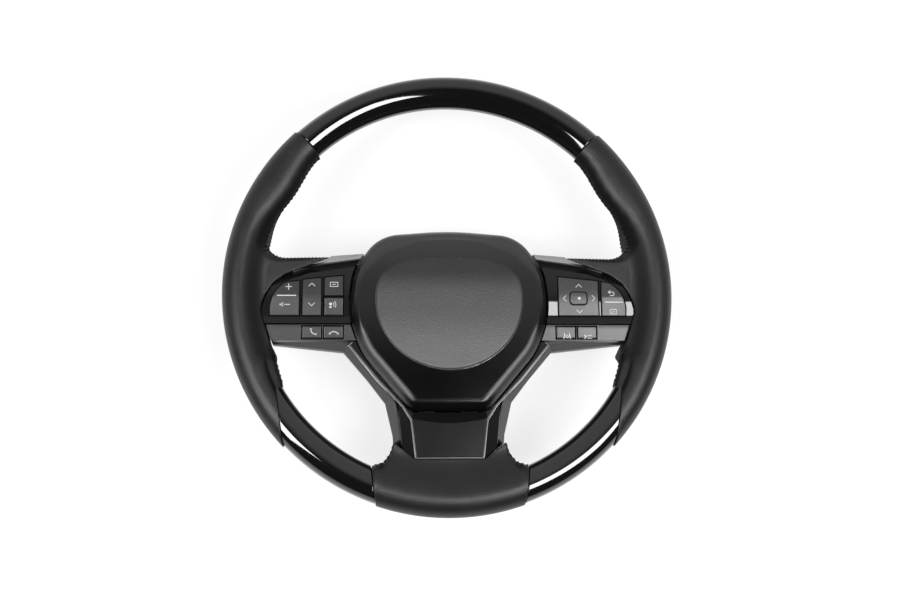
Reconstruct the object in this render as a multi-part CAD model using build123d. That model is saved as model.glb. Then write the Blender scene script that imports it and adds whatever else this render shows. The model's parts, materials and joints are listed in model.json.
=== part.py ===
from build123d import *
import os
from math import cos, degrees, radians, sin

# Car steering wheel, millimetres.
# Origin: centre of the column bore on the rear seat of the hub boss.
# +Z faces the driver, +Y is 12 o'clock, +X is the driver's right.

# Rim
RIM_OUTER_R = 187.5
RIM_Z = 72.0
GRIP_WIDTH = 30.5
REST_WIDTH = 26.0
THUMB_REST_END_DEG = 18.5
PALM_REST_DEG = -3.0
PALM_REST_END_DEG = -35.0
TRIM_INSET = 1.3
TRIM_WIDTH = 27.5
JOINT_GAP = 0.3
TOP_JOINT_DEG = 46.0
SIDE_JOINT_IN_DEG = -30.6
SIDE_JOINT_OUT_DEG = -44.1
BOTTOM_JOINT_IN_DEG = -66.6
BOTTOM_JOINT_OUT_DEG = -71.5

# Armature
BORE_R = 8.5
BOSS_R = 20.0
BOSS_HEIGHT = 24.0
HUB_PLATE_CLEARANCE = 1.5
HUB_PLATE_THICKNESS = 8.0
RING_WIDTH = 11.0
RING_DEPTH = 12.0
ARM_THICKNESS = 8.0
ARM_Z = 42.0
SIDE_ARM_WIDTH = 26.0
LOWER_ARM_WIDTH = 14.0
LOWER_ARM_X = 18.0
BRIDGE_WIDTH = 16.0
CORE_GAP = 0.2

# Spokes and rear cover
SPOKE_END_INSET = 32.3
SPOKE_TOP_Y = 27.2
SPOKE_AXIS_Y = -11.0
LEATHER_TIP_X = 99.0
SPOKE_BACK_Z = 38.0
FLANK_Z = 52.0
LIP_Z = 62.0
FLANK_WIDTH = 5.5
COVER_WALL = 2.5
BACK_CHAMFER = 4.0
ARM_CLEARANCE = 0.5
SKIRT_R = 50.0
SKIRT_Z = -16.0
BOWL_Z = 18.0
BOWL_WIDTH = 148.0
BOWL_CHAMFER = 14.0
BOWL_HEIGHT = 108.0
BOWL_Y = -3.0
LOWER_END_INSET = 47.2
LOWER_END_WIDTH = 58.0
LOWER_NECK_WIDTH = 92.0
ROOT_FRONT_Z = 74.0
ROOT_BACK_Z = 40.0
ROOT_FILLET = 8.0
ROOT_HOLLOW_R = 18.0
ROOT_HEEL_WIDTH = 18.0
ROOT_HEEL_DROP = 17.0

# Airbag pad
PAD_TOP_Y = 49.7
PAD_BOTTOM_Y = -101.5
PAD_HALF_WIDTH = 83.5
PAD_BACK_Z = 55.5
PAD_CROWN_Z = 86.0
PAD_DOME_R = 340.0
PAD_DOME_Y = -22.0
PAD_SHOULDER_Z = 71.0
PAD_SHOULDER_WIDTH = 7.0
PAD_SHOULDER_HEIGHT = 9.0
FIELD_PROUD = 2.0
PAD_WALL = 3.0
PAD_GAP = 1.3
HORN_TRAVEL = 2.5
BASE_PLATE_THICKNESS = 2.0
INFLATOR_R = 32.0
INFLATOR_HEIGHT = 26.0
INFLATOR_Y = -12.0
INFLATOR_Z = 41.5
INFLATOR_FLANGE = 1.6
PIN_R = 3.0
PIN_X = 66.0
PIN_LOW_Y = -70.0
PIN_SEAT_R = 7.5
PIN_SEAT_Z = 46.0
PIN_REACH = 2.5
PIN_PLAY = 0.06
BUSH_WALL = 1.5
BUSH_FLANGE = 1.2
SPRING_R = 5.2
SPRING_WIRE = 1.2
SPRING_TURNS = 2

# Switch pods
BEZEL_FRONT_Z = 73.0
PANEL_FRONT_Z = 70.5
FACE_PLATE_Z = 66.3
FACE_WALL = 1.5
BEZEL_BOTTOM_Y = -29.2
PANEL_BOTTOM_Y = -43.2
BEZEL_SLOPE_WIDTH = 6.0
BEZEL_SLOPE_DROP = 4.5
KEY_PROUD = 1.0
KEY_GAP = 0.7
KEY_CHAMFER = 0.6
END_KEY_SHARE = 0.466
BACK_KEY_SHARE = 0.4053
END_SHOULDER_SHARE = 0.3033
KEY_DIVIDER = 2.3
PANEL_KEY_SHARE = 0.2367
PANEL_POST_SHARE = 0.3284
PANEL_KEY_DIVIDER = 1.8
KEY_TO_PAD = 4.1
KEY_BOTTOM_Z = 61.0
KEY_STEM = 3.0
KEY_ROW_BOTTOM_Y = -22.6
KEY_ROW_TOP_Y = 7.5
KEY_MID_Y = -6.6
PIVOT_Y = -7.6
PIVOT_Z = 64.0
PIVOT_R = 1.2
PIVOT_PLAY = 0.06
RIB_TOP_Z = 66.0
GIMBAL_WIDTH_SHARE = 0.3235
GIMBAL_HEIGHT_SHARE = 0.3654
GIMBAL_BAR = 2.4
GIMBAL_HEIGHT = 4.6
CURSOR_CAP = 5.0
OK_WIDTH_SHARE = 0.4235
OK_HEIGHT_SHARE = 0.3654
OK_PROUD = 0.6
HOUSING_TOP_Z = 59.5
HOUSING_WALL = 2.0
POST_WIDTH = 2.6
BOARD_THICKNESS = 1.6
MAT_THICKNESS = 1.3

# Lower spoke trim
INSERT_Z = 67.0
INSERT_FRONT_Z = 69.5
STRIP_WIDTH = 1.0
STRIP_PROUD = 0.3

# Cover screws
SCREW_R = 1.9
SCREW_DEPTH = 6.0
SCREW_HEAD_R = 3.6
SCREW_HEAD = 2.4

spoke_end_x = RIM_OUTER_R - SPOKE_END_INSET
lower_end_y = LOWER_END_INSET - RIM_OUTER_R
ring_r = RIM_OUTER_R - GRIP_WIDTH / 2
hub_plate_r = SKIRT_R - COVER_WALL - HUB_PLATE_CLEARANCE
trim_r = RIM_OUTER_R - TRIM_INSET - TRIM_WIDTH / 2
arm_top_z = ARM_Z + ARM_THICKNESS
UP = (0, 0, 1)
FAR = 120.0


def polar(r, deg):
    return (r * cos(radians(deg)), r * sin(radians(deg)))


def polygon(*points):
    return make_face(Polyline(*points, close=True))


def mirror_points(points):
    """A right-hand half outline, from the top down to the foot, closed through its mirror image."""
    return points + [(-x, y) for x, y in reversed(points) if x > 0]


def rounded(points, radii):
    """Closed outline of straight runs and tangent arcs from a right-hand half."""
    left = [r for (x, y), r in reversed(list(zip(points, radii))) if x > 0]
    return make_face(FilletPolyline(*mirror_points(points), radius=radii + left, close=True))


def slab(face, z0, z1):
    """A flat outline carried straight up from z0 to z1."""
    return Pos(0, 0, z0) * extrude(face, amount=z1 - z0, dir=UP)


def disc(x, y, r, z0, z1):
    return slab(Pos(x, y) * Circle(r), z0, z1)


def inset(face, amount):
    """The outline moved in by amount, or out if amount is negative, corners kept sharp."""
    return offset(face, amount=-amount, kind=Kind.INTERSECTION)


def mirrored(shape):
    return mirror(shape, about=Plane.YZ)


def front_edges(solid):
    return solid.faces().sort_by(Axis.Z)[-1].outer_wire().edges()


# Plan outlines

# Pad: a shield with a slightly bowed top, and the raised field in its middle.
pad_face = rounded(
    [
        (0, PAD_TOP_Y + 0.7),
        (58, PAD_TOP_Y - 3.9),
        (PAD_HALF_WIDTH - 4, 17),
        (PAD_HALF_WIDTH, -22),
        (PAD_HALF_WIDTH - 11.5, -53),
        (31, PAD_BOTTOM_Y),
    ],
    [260, 34, 50, 70, 60, 14],
)
field_face = rounded(
    [
        (52, PAD_TOP_Y - 23.5),
        (PAD_HALF_WIDTH - 21, -12),
        (PAD_HALF_WIDTH - 33.5, -52),
        (22, PAD_BOTTOM_Y + 32),
    ],
    [20, 50, 40, 36],
)
pad_clear = slab(offset(pad_face, amount=PAD_GAP), 0, FAR)
pad_low_z = PAD_BACK_Z - BASE_PLATE_THICKNESS - HORN_TRAVEL - 0.5

# Right spoke: straight top, slanted leather joint, round outer end, tapering foot.
spoke_joint = (spoke_end_x - 19.2, 13.0)
spoke_round = (spoke_end_x - 5.0, -3.2)
spoke_tip = (spoke_end_x, -19.5)
spoke_heel = (spoke_end_x - 3.0, BEZEL_BOTTOM_Y)
spoke_foot = (spoke_end_x - 8.2, PANEL_BOTTOM_Y)
crotch = (PAD_HALF_WIDTH + 4.5, PANEL_BOTTOM_Y - 6.3)
end_curve = ThreePointArc(spoke_joint, spoke_round, spoke_tip)
spoke_face = make_face(
    Polyline((0, SPOKE_TOP_Y), (LEATHER_TIP_X, SPOKE_TOP_Y), spoke_joint)
    + end_curve
    + Polyline(spoke_tip, spoke_heel, spoke_foot, crotch, (0, crotch[1]), (0, SPOKE_TOP_Y))
)

# Lower spoke: two flared sides running down to a blunt point in the bottom leather.
neck_x = LOWER_NECK_WIDTH / 2
neck_y = lower_end_y + 14.0
foot_x = LOWER_END_WIDTH / 2
lower_face = polygon(
    *mirror_points(
        [
            crotch,
            (neck_x + 21.1, -74.1),
            (neck_x + 6.8, -92.6),
            (neck_x + 0.5, neck_y + 7.0),
            (neck_x, neck_y),
            (foot_x, lower_end_y),
        ]
    )
)
cover_face = spoke_face + mirrored(spoke_face) + lower_face


# Armature


def arm(width, grow=0.0):
    """Cranked bar along +X: off the hub plate, up to spoke level, along it and up to the rim core."""
    plate = BOSS_HEIGHT - HUB_PLATE_THICKNESS
    end_in = ring_r - RING_WIDTH / 2
    end_out = ring_r + RING_WIDTH / 2 - 3.0
    side = polygon(
        (BOSS_R, plate),
        (BOSS_R + 18, plate),
        (BOSS_R + 37, ARM_Z),
        (end_in - 12, ARM_Z),
        (end_out, RIM_Z - 10),
        (end_out, RIM_Z),
        (end_in, RIM_Z),
        (end_in, RIM_Z - 6),
        (end_in - 13, arm_top_z),
        (BOSS_R + 32, arm_top_z),
        (BOSS_R + 13, BOSS_HEIGHT),
        (BOSS_R, BOSS_HEIGHT),
    )
    if grow:
        side = inset(side, -grow)
    return extrude(Plane.XZ * side, amount=width / 2 + grow, both=True)


def ring(grow=0.0):
    profile = Pos(ring_r, RIM_Z) * Rectangle(RING_WIDTH + 2 * grow, RING_DEPTH + 2 * grow)
    return revolve(Plane.XZ * profile, axis=Axis.Z)


def arms(grow=0.0):
    side = Pos(0, SPOKE_AXIS_Y, 0) * arm(SIDE_ARM_WIDTH, grow)
    low = Pos(LOWER_ARM_X, 0, 0) * Rot(0, 0, -90) * arm(LOWER_ARM_WIDTH, grow)
    return side + mirrored(side) + low + mirrored(low)


PINS = [(PIN_X, SPOKE_AXIS_Y), (-PIN_X, SPOKE_AXIS_Y), (0, PIN_LOW_Y)]
screw_x = spoke_end_x - 43.0
screw_y = lower_end_y + 28.0
SCREWS = [
    (screw_x, SPOKE_AXIS_Y),
    (-screw_x, SPOKE_AXIS_Y),
    (LOWER_ARM_X, screw_y),
    (-LOWER_ARM_X, screw_y),
]


def armature():
    plate_z = BOSS_HEIGHT - HUB_PLATE_THICKNESS
    body = disc(0, 0, BOSS_R, 0, BOSS_HEIGHT) + disc(0, 0, hub_plate_r, plate_z, BOSS_HEIGHT)
    body += arms() - ring()
    body += slab(Pos(0, PIN_LOW_Y) * Rectangle(2 * LOWER_ARM_X, BRIDGE_WIDTH), ARM_Z, PIN_SEAT_Z)
    for x, y in PINS:
        body -= disc(x, y, PIN_SEAT_R + 1.5, PIN_SEAT_Z, arm_top_z + 1)
        body -= disc(x, y, PIN_R + BUSH_WALL, ARM_Z - 1, arm_top_z)
    for x, y in SCREWS:
        body -= disc(x, y, SCREW_R + 0.05, ARM_Z - 1, ARM_Z + SCREW_DEPTH)
    return body - disc(0, 0, BORE_R, -1, BOSS_HEIGHT + 1)


# Leather grips and gloss rim segments


def rim_arc(radius, section_width, deg0, deg1):
    """Round bar bent along the rim from one angle to another."""
    profile = Plane.XZ * (Pos(radius, RIM_Z) * Circle(section_width / 2))
    return Rot(0, 0, deg0) * revolve(profile, axis=Axis.Z, revolution_arc=deg1 - deg0)


def hand_rest(deg0, deg1):
    """Straight swelling of the grip, whose inner edge is a chord of the rim's inner edge."""
    half = radians((deg1 - deg0) / 2)
    inner_r = RIM_OUTER_R - GRIP_WIDTH
    overrun = 3.0
    bar = Cylinder(REST_WIDTH / 2, 2 * inner_r * sin(half) + 2 * overrun, rotation=(90, 0, 0))
    reach = inner_r * cos(half) + REST_WIDTH / 2
    return Rot(0, 0, (deg0 + deg1) / 2) * Pos(reach, 0, RIM_Z) * bar


def core_room():
    return ring(CORE_GAP) + arms(CORE_GAP)


def upper_trim_face():
    """Plan of the space past the right-hand top joint."""
    near_r = RIM_OUTER_R - 2 * GRIP_WIDTH
    far_r = RIM_OUTER_R + GRIP_WIDTH
    past = TOP_JOINT_DEG + 15
    return polygon(
        polar(near_r, TOP_JOINT_DEG), polar(far_r, TOP_JOINT_DEG), polar(far_r, past), polar(near_r, past)
    )


def lower_trim_face(gap):
    """Plan of the right lower gloss segment, between its slanted side joint and its bottom joint."""
    step_r = RIM_OUTER_R - GRIP_WIDTH + 1
    face = polygon(
        polar(RIM_OUTER_R - 60, BOTTOM_JOINT_IN_DEG + 4),
        polar(RIM_OUTER_R - 60, SIDE_JOINT_IN_DEG),
        polar(step_r, SIDE_JOINT_IN_DEG + 0.3),
        polar(step_r + 5.5, SIDE_JOINT_IN_DEG),
        polar(RIM_OUTER_R, SIDE_JOINT_OUT_DEG),
        polar(RIM_OUTER_R + 30, SIDE_JOINT_OUT_DEG - 5),
        polar(RIM_OUTER_R + 30, BOTTOM_JOINT_OUT_DEG - 3),
        polar(RIM_OUTER_R, BOTTOM_JOINT_OUT_DEG),
        polar(RIM_OUTER_R - 29, BOTTOM_JOINT_IN_DEG),
    )
    return inset(face, gap) if gap else face


def spoke_root():
    """Leather-covered web where the right spoke leaves the rim, with a round hollow on its upper side."""
    hollow_r = ROOT_HOLLOW_R
    hollow_x = spoke_end_x - 1.2 - hollow_r
    hollow = ThreePointArc(
        (hollow_x, SPOKE_TOP_Y),
        (hollow_x + hollow_r * sin(radians(45)), SPOKE_TOP_Y + hollow_r * (1 - cos(radians(45)))),
        (hollow_x + hollow_r, SPOKE_TOP_Y + hollow_r),
    )
    back_x = ring_r + 3
    top_y = SPOKE_TOP_Y + hollow_r
    foot_y = PANEL_BOTTOM_Y - 1
    in_x = LEATHER_TIP_X - 4
    face = make_face(
        Polyline((in_x, SPOKE_TOP_Y), (hollow_x, SPOKE_TOP_Y))
        + hollow
        + Polyline(
            (hollow_x + hollow_r, top_y), (back_x, top_y), (back_x, foot_y), (in_x, foot_y), (in_x, SPOKE_TOP_Y)
        )
    )
    web = slab(face, ROOT_BACK_Z, ROOT_FRONT_Z)
    heel = web.edges().filter_by(Axis.Y).sort_by(Axis.X)[-2:].sort_by(Axis.Z)[0]
    base = web.faces().sort_by(Axis.Z)[0]
    web = chamfer(heel, length=ROOT_HEEL_WIDTH, length2=ROOT_HEEL_DROP, reference=base)
    rims = [e for e in web.edges() if abs(e.center().Z - RIM_Z) > 1 and e.center().X < spoke_end_x - 1.5]
    upper = [e for e in rims if e.center().Y > SPOKE_TOP_Y - 0.01 and abs(e.tangent_at(0.5).Z) < 0.5]
    return fillet(upper, ROOT_FILLET)


def right_grip():
    grip = rim_arc(ring_r, GRIP_WIDTH, SIDE_JOINT_OUT_DEG - 4, TOP_JOINT_DEG + 6)
    grip += spoke_root()
    grip += hand_rest(THUMB_REST_END_DEG, TOP_JOINT_DEG)
    grip += hand_rest(PALM_REST_END_DEG, PALM_REST_DEG)
    grip -= slab(upper_trim_face(), 0, FAR)
    grip -= slab(lower_trim_face(0.0), 0, FAR)
    grip -= slab(inset(cover_face, -JOINT_GAP), 0, FAR)
    return grip - core_room()


def bottom_grip():
    half = 90 + BOTTOM_JOINT_IN_DEG + 3
    rim = rim_arc(ring_r, GRIP_WIDTH, -90 - half, -90 + half)
    root = polygon(
        *mirror_points([
            (neck_x, neck_y),
            (neck_x + 2.2, neck_y - 9.0),
            (neck_x + 8.0, neck_y - 17.0),
            (neck_x + 14.0, neck_y - 20.5),
            (neck_x + 14.0, -ring_r - 3.0),
        ])
    )
    web = slab(root, ROOT_BACK_Z, ROOT_FRONT_Z)
    heel = web.edges().filter_by(Axis.X).sort_by(Axis.Y)[:2].sort_by(Axis.Z)[0]
    base = web.faces().sort_by(Axis.Z)[0]
    grip = rim + chamfer(heel, length=ROOT_HEEL_WIDTH, length2=ROOT_HEEL_DROP, reference=base)
    cut = slab(lower_trim_face(0.0), 0, FAR)
    grip -= cut + mirrored(cut)
    grip -= slab(inset(cover_face, -JOINT_GAP), 0, FAR)
    return grip - core_room()


def halves(segment):
    """Front and rear shells of a gloss segment, parted on the rim's middle plane."""
    square = Rectangle(3 * RIM_OUTER_R, 3 * RIM_OUTER_R)
    front = slab(square, RIM_Z, RIM_Z + TRIM_WIDTH)
    rear = slab(square, RIM_Z - TRIM_WIDTH, RIM_Z)
    return segment & front, segment & rear


def top_trim():
    gap_deg = degrees(JOINT_GAP / RIM_OUTER_R)
    start = TOP_JOINT_DEG + gap_deg
    return rim_arc(trim_r, TRIM_WIDTH, start, 180 - start) - ring(CORE_GAP)


def right_trim():
    segment = rim_arc(trim_r, TRIM_WIDTH, BOTTOM_JOINT_OUT_DEG - 10, SIDE_JOINT_IN_DEG + 10)
    segment &= slab(lower_trim_face(JOINT_GAP), RIM_Z - TRIM_WIDTH, RIM_Z + TRIM_WIDTH)
    return segment - ring(CORE_GAP)


# Rear cover


def bowl(wall):
    """Round skirt behind a wide oval bowl with a chamfered back edge."""
    outline = Pos(0, BOWL_Y) * SlotOverall(BOWL_WIDTH - 2 * wall, BOWL_HEIGHT - 2 * wall)
    oval = slab(outline, BOWL_Z + wall, pad_low_z)
    back = oval.faces().sort_by(Axis.Z)[0].outer_wire().edges()
    return chamfer(back, BOWL_CHAMFER) + disc(0, 0, SKIRT_R - wall, SKIRT_Z, BOWL_Z + BOWL_CHAMFER)


def sloped(z0, z1, shrink):
    """The outline of the spokes carried from z0 to z1, drawing in by shrink on the way."""
    return loft([Pos(0, 0, z0) * cover_face, Pos(0, 0, z1) * inset(cover_face, shrink)], ruled=True)


def rear_cover():
    """Tray behind the three spokes with sloped flanks, opening into the hub bowl."""
    wall_z = SPOKE_BACK_Z + BACK_CHAMFER
    tray = sloped(wall_z, SPOKE_BACK_Z, BACK_CHAMFER) + slab(cover_face, wall_z, FLANK_Z)
    tray += sloped(FLANK_Z, LIP_Z, FLANK_WIDTH)
    room = slab(inset(cover_face, COVER_WALL), SPOKE_BACK_Z + COVER_WALL, FLANK_Z)
    room += slab(inset(cover_face, COVER_WALL + FLANK_WIDTH), FLANK_Z - 1, LIP_Z + 1)
    cover = tray + bowl(0.0)
    cover -= pad_clear & slab(Rectangle(400, 400), pad_low_z, FAR)
    cover -= room
    cover -= bowl(COVER_WALL)
    pod_room = slab(inset(pod_face, JOINT_GAP + FACE_WALL), arm_top_z - JOINT_GAP, FAR)
    cover -= pod_room
    cover -= mirrored(pod_room)
    cover -= arms(ARM_CLEARANCE)
    for x, y in SCREWS:
        cover += disc(x, y, SCREW_HEAD_R + 1, SPOKE_BACK_Z + 1, ARM_Z)
    for x, y in SCREWS:
        cover -= disc(x, y, SCREW_R + 0.2, 0, ARM_Z + 1)
    return cover


def rear_cover_screws():
    group = []
    for x, y in SCREWS:
        head = disc(x, y, SCREW_HEAD_R, SPOKE_BACK_Z - SCREW_HEAD, SPOKE_BACK_Z)
        group.append(head + disc(x, y, SCREW_R, SPOKE_BACK_Z, ARM_Z + SCREW_DEPTH - 0.5))
    return Compound(children=group)


# Airbag module and horn


def dome(rise):
    """Large ball whose crown gives the pad its shallow bow."""
    return Pos(0, PAD_DOME_Y, PAD_CROWN_Z + rise - PAD_DOME_R) * Sphere(PAD_DOME_R)


def airbag_cover():
    """Pad shell: straight walls, a sloped shoulder and a shallow dome with a raised field."""
    crest_z = PAD_SHOULDER_Z + PAD_SHOULDER_HEIGHT
    crest = offset(pad_face, amount=-PAD_SHOULDER_WIDTH)
    body = slab(pad_face, PAD_BACK_Z, PAD_SHOULDER_Z)
    body += loft([Pos(0, 0, PAD_SHOULDER_Z) * pad_face, Pos(0, 0, crest_z) * crest], ruled=True)
    body += slab(crest, crest_z, FAR)
    body &= dome(0.0)
    body += slab(field_face, crest_z - PAD_WALL, FAR) & dome(FIELD_PROUD)
    body -= slab(offset(pad_face, amount=-PAD_WALL), PAD_BACK_Z - 1, PAD_SHOULDER_Z)
    body -= slab(offset(crest, amount=-PAD_WALL), PAD_BACK_Z - 1, FAR) & dome(-PAD_WALL)
    return body


def airbag_base_plate():
    plate = slab(offset(pad_face, amount=-1.0), PAD_BACK_Z - BASE_PLATE_THICKNESS, PAD_BACK_Z)
    plate -= disc(0, INFLATOR_Y, INFLATOR_R + 0.2, 0, FAR)
    for x, y in PINS:
        plate -= disc(x, y, PIN_R - 0.5, 0, FAR)
    return plate


def airbag_inflator():
    can = disc(0, INFLATOR_Y, INFLATOR_R, INFLATOR_Z, INFLATOR_Z + INFLATOR_HEIGHT)
    return can + disc(0, INFLATOR_Y, INFLATOR_R + 5, PAD_BACK_Z, PAD_BACK_Z + INFLATOR_FLANGE)


def folded_airbag():
    face = offset(pad_face, amount=-PAD_WALL - 4.0)
    pack = slab(face, PAD_BACK_Z + INFLATOR_FLANGE, PAD_SHOULDER_Z - 1.0)
    return pack - disc(0, INFLATOR_Y, INFLATOR_R + 0.5, 0, INFLATOR_Z + INFLATOR_HEIGHT + 0.3)


def horn_guide_pins():
    top = PAD_BACK_Z - BASE_PLATE_THICKNESS
    pins = []
    for x, y in PINS:
        spigot = disc(x, y, PIN_R - 0.5, top, PAD_BACK_Z)
        pins.append(disc(x, y, PIN_R, PIN_SEAT_Z - PIN_REACH, top) + spigot)
    return Compound(children=pins)


def horn_guide_bushes():
    bushes = []
    for x, y in PINS:
        sleeve = disc(x, y, PIN_R + BUSH_WALL, ARM_Z, PIN_SEAT_Z)
        sleeve += disc(x, y, PIN_SEAT_R, PIN_SEAT_Z, PIN_SEAT_Z + BUSH_FLANGE)
        bushes.append(sleeve - disc(x, y, PIN_R + PIN_PLAY, 0, FAR))
    return Compound(children=bushes)


def horn_springs():
    z0 = PIN_SEAT_Z + BUSH_FLANGE + SPRING_WIRE / 2
    height = PAD_BACK_Z - BASE_PLATE_THICKNESS - SPRING_WIRE / 2 - z0
    helix = Helix(pitch=height / SPRING_TURNS, height=height, radius=SPRING_R)
    start = Plane(helix @ 0, z_dir=helix % 0)
    coil = sweep(start * Rectangle(SPRING_WIRE, SPRING_WIRE), path=helix, is_frenet=True)
    return Compound(children=[Pos(x, y, z0) * coil for x, y in PINS])


# Switch pods, drawn on the right-hand side. The left pod is mirrored when it is built.

bezel_in = (PAD_HALF_WIDTH - 6.5, SPOKE_TOP_Y - 1.7)
bezel_out = (spoke_end_x - 37.2, SPOKE_TOP_Y - 7.9)
pod_in_x = PAD_HALF_WIDTH - 23.5
key_in_x = PAD_HALF_WIDTH + KEY_TO_PAD
key_row = spoke_end_x - key_in_x
panel_key_width = PANEL_KEY_SHARE * key_row
bezel_face = make_face(
    Polyline((pod_in_x, bezel_in[1]), bezel_in, bezel_out, spoke_joint)
    + end_curve
    + Polyline(spoke_tip, spoke_heel, (pod_in_x, BEZEL_BOTTOM_Y), (pod_in_x, bezel_in[1]))
)
panel_face = polygon(
    (pod_in_x, BEZEL_BOTTOM_Y), spoke_heel, spoke_foot, (pod_in_x, PANEL_BOTTOM_Y)
)
pod_face = bezel_face + panel_face
tray_face = inset(pod_face, JOINT_GAP + FACE_WALL + 0.3)
upper_post_y = BEZEL_BOTTOM_Y + 3.9
lower_post_y = PANEL_BOTTOM_Y + 7.0
POSTS = [
    (key_in_x + 0.9, SPOKE_TOP_Y - 11.7),
    (spoke_end_x - 26.2, KEY_ROW_TOP_Y + 2.3),
    (key_in_x + 0.9, upper_post_y),
    (spoke_end_x - 9.0, upper_post_y),
    (key_in_x - 2.7, lower_post_y),
    (spoke_end_x - PANEL_POST_SHARE * key_row, lower_post_y),
]


def end_key(x0):
    """Outline of the outermost key, rounded like the end of the pod."""
    top = KEY_ROW_TOP_Y - 1.7
    shoulder = (spoke_end_x - END_SHOULDER_SHARE * key_row, top)
    heel = (spoke_end_x - 7.0, KEY_ROW_BOTTOM_Y + 5)
    return make_face(
        Polyline(shoulder, (x0, top + 1.0), (x0, KEY_ROW_BOTTOM_Y), (spoke_end_x - 7.2, KEY_ROW_BOTTOM_Y), heel)
        + ThreePointArc(heel, (spoke_end_x - 11.2, KEY_ROW_BOTTOM_Y + 20), shoulder)
    )


def row_key(x0, x1, y0=KEY_ROW_BOTTOM_Y):
    """A key between x0 and x1 whose top follows the slant of the pod."""
    slant = -0.1
    lean = spoke_end_x - 30.2
    return polygon(
        (x0, y0),
        (x1, y0),
        (x1, KEY_ROW_TOP_Y + slant * (x1 - lean)),
        (x0, KEY_ROW_TOP_Y + slant * (x0 - lean)),
    )


def box_key(x0, x1, y0, y1):
    return polygon((x0, y0), (x1, y0), (x1, y1), (x0, y1))


panel_y0 = PANEL_BOTTOM_Y + 1.9
panel_y1 = BEZEL_BOTTOM_Y - 1.7
VOLUME_X = spoke_end_x - END_KEY_SHARE * key_row
BACK_X = spoke_end_x - BACK_KEY_SHARE * key_row
column = (VOLUME_X - key_in_x) / 2
MODE_X = (key_in_x, key_in_x + column - KEY_DIVIDER)
SEEK_X = (key_in_x + column, VOLUME_X - KEY_DIVIDER)
CURSOR_SPAN = (key_in_x + 3.9, BACK_X - KEY_DIVIDER)
left_keys = {
    "volume_rocker": end_key(VOLUME_X),
    "seek_rocker": row_key(*SEEK_X),
    "mode_button": row_key(*MODE_X, KEY_MID_Y + KEY_DIVIDER / 2 - 0.35),
    "voice_button": box_key(*MODE_X, KEY_ROW_BOTTOM_Y, KEY_MID_Y - KEY_DIVIDER / 2 + 0.35),
}
lane_x = key_in_x + 2.0
panel_pitch = panel_key_width + PANEL_KEY_DIVIDER
left_panel_keys = {
    "call_button": box_key(key_in_x + panel_pitch, key_in_x + panel_pitch + panel_key_width, panel_y0, panel_y1),
    "hangup_button": box_key(key_in_x, key_in_x + panel_key_width, panel_y0, panel_y1),
}
right_keys = {
    "cursor_key": row_key(*CURSOR_SPAN),
    "back_rocker": end_key(BACK_X),
}
right_panel_keys = {
    "lane_button": box_key(lane_x, lane_x + panel_key_width, panel_y0, panel_y1),
    "distance_button": box_key(lane_x + panel_pitch, lane_x + panel_pitch + panel_key_width, panel_y0, panel_y1),
}
cursor_x = sum(CURSOR_SPAN) / 2
cursor_width = CURSOR_SPAN[1] - CURSOR_SPAN[0]
cursor_height = KEY_ROW_TOP_Y - KEY_ROW_BOTTOM_Y
gimbal_half_x = GIMBAL_WIDTH_SHARE * cursor_width
gimbal_half_y = GIMBAL_HEIGHT_SHARE * cursor_height
ok_width = OK_WIDTH_SHARE * cursor_width
ok_height = OK_HEIGHT_SHARE * cursor_height
ok_face = Pos(cursor_x, PIVOT_Y) * RectangleRounded(ok_width, ok_height, 3.0)


def pod_plate(face, front_z, keys, slope):
    """Face plate with a wall round its back and a window for each key, clear of the pad."""
    outer = inset(face, JOINT_GAP)
    plate = slab(outer, LIP_Z, front_z)
    if slope:
        front = plate.faces().sort_by(Axis.Z)[-1]
        top = [e for e in front.edges() if e.center().Y > 13 and pod_in_x < e.center().X < spoke_joint[0]]
        plate = chamfer(top, length=BEZEL_SLOPE_WIDTH, length2=BEZEL_SLOPE_DROP, reference=front)
    plate -= slab(inset(outer, FACE_WALL), LIP_Z - 1, FACE_PLATE_Z)
    for outline in keys.values():
        plate -= slab(inset(outline, -KEY_GAP), 0, FAR)
    return plate - pad_clear


def pin_along_x(x0, x1, r):
    """Round stub at the rockers' pivot, running from x0 to x1."""
    return Pos(x0, PIVOT_Y, PIVOT_Z) * extrude(Plane.YZ * Circle(r), amount=x1 - x0, dir=(1, 0, 0))


def cap(outline, bottom_z, front_z):
    return chamfer(front_edges(slab(outline, bottom_z, front_z)), KEY_CHAMFER)


def rocking_key(outline, pin_x0, pin_x1):
    key = cap(outline, KEY_BOTTOM_Z, BEZEL_FRONT_Z + KEY_PROUD)
    return key + pin_along_x(pin_x0, pin_x1, PIVOT_R)


def push_key(outline, front_z):
    """Key with a centre stem over the dome mat."""
    middle = outline.center()
    stem = slab(Pos(middle.X, middle.Y) * Rectangle(4, 4), KEY_BOTTOM_Z - KEY_STEM, KEY_BOTTOM_Z)
    return cap(outline, KEY_BOTTOM_Z, front_z) + stem


def cursor_gimbal():
    """Square ring with stub pins on all four sides, between the housing and the four-way key."""
    outer = Rectangle(2 * gimbal_half_x, 2 * gimbal_half_y)
    face = outer - Rectangle(2 * (gimbal_half_x - GIMBAL_BAR), 2 * (gimbal_half_y - GIMBAL_BAR))
    body = Pos(cursor_x, PIVOT_Y, PIVOT_Z) * slab(face, -GIMBAL_HEIGHT / 2, GIMBAL_HEIGHT / 2)
    stub = extrude(Plane.YZ * Circle(PIVOT_R), amount=2 * GIMBAL_BAR - 1, dir=(1, 0, 0))
    for turn, half in ((0, gimbal_half_x), (90, gimbal_half_y), (180, gimbal_half_x), (270, gimbal_half_y)):
        pin = Pos(half - GIMBAL_BAR + 1, 0, 0) * stub
        body += Pos(cursor_x, PIVOT_Y, PIVOT_Z) * Rot(0, 0, turn) * pin
    return body


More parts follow.
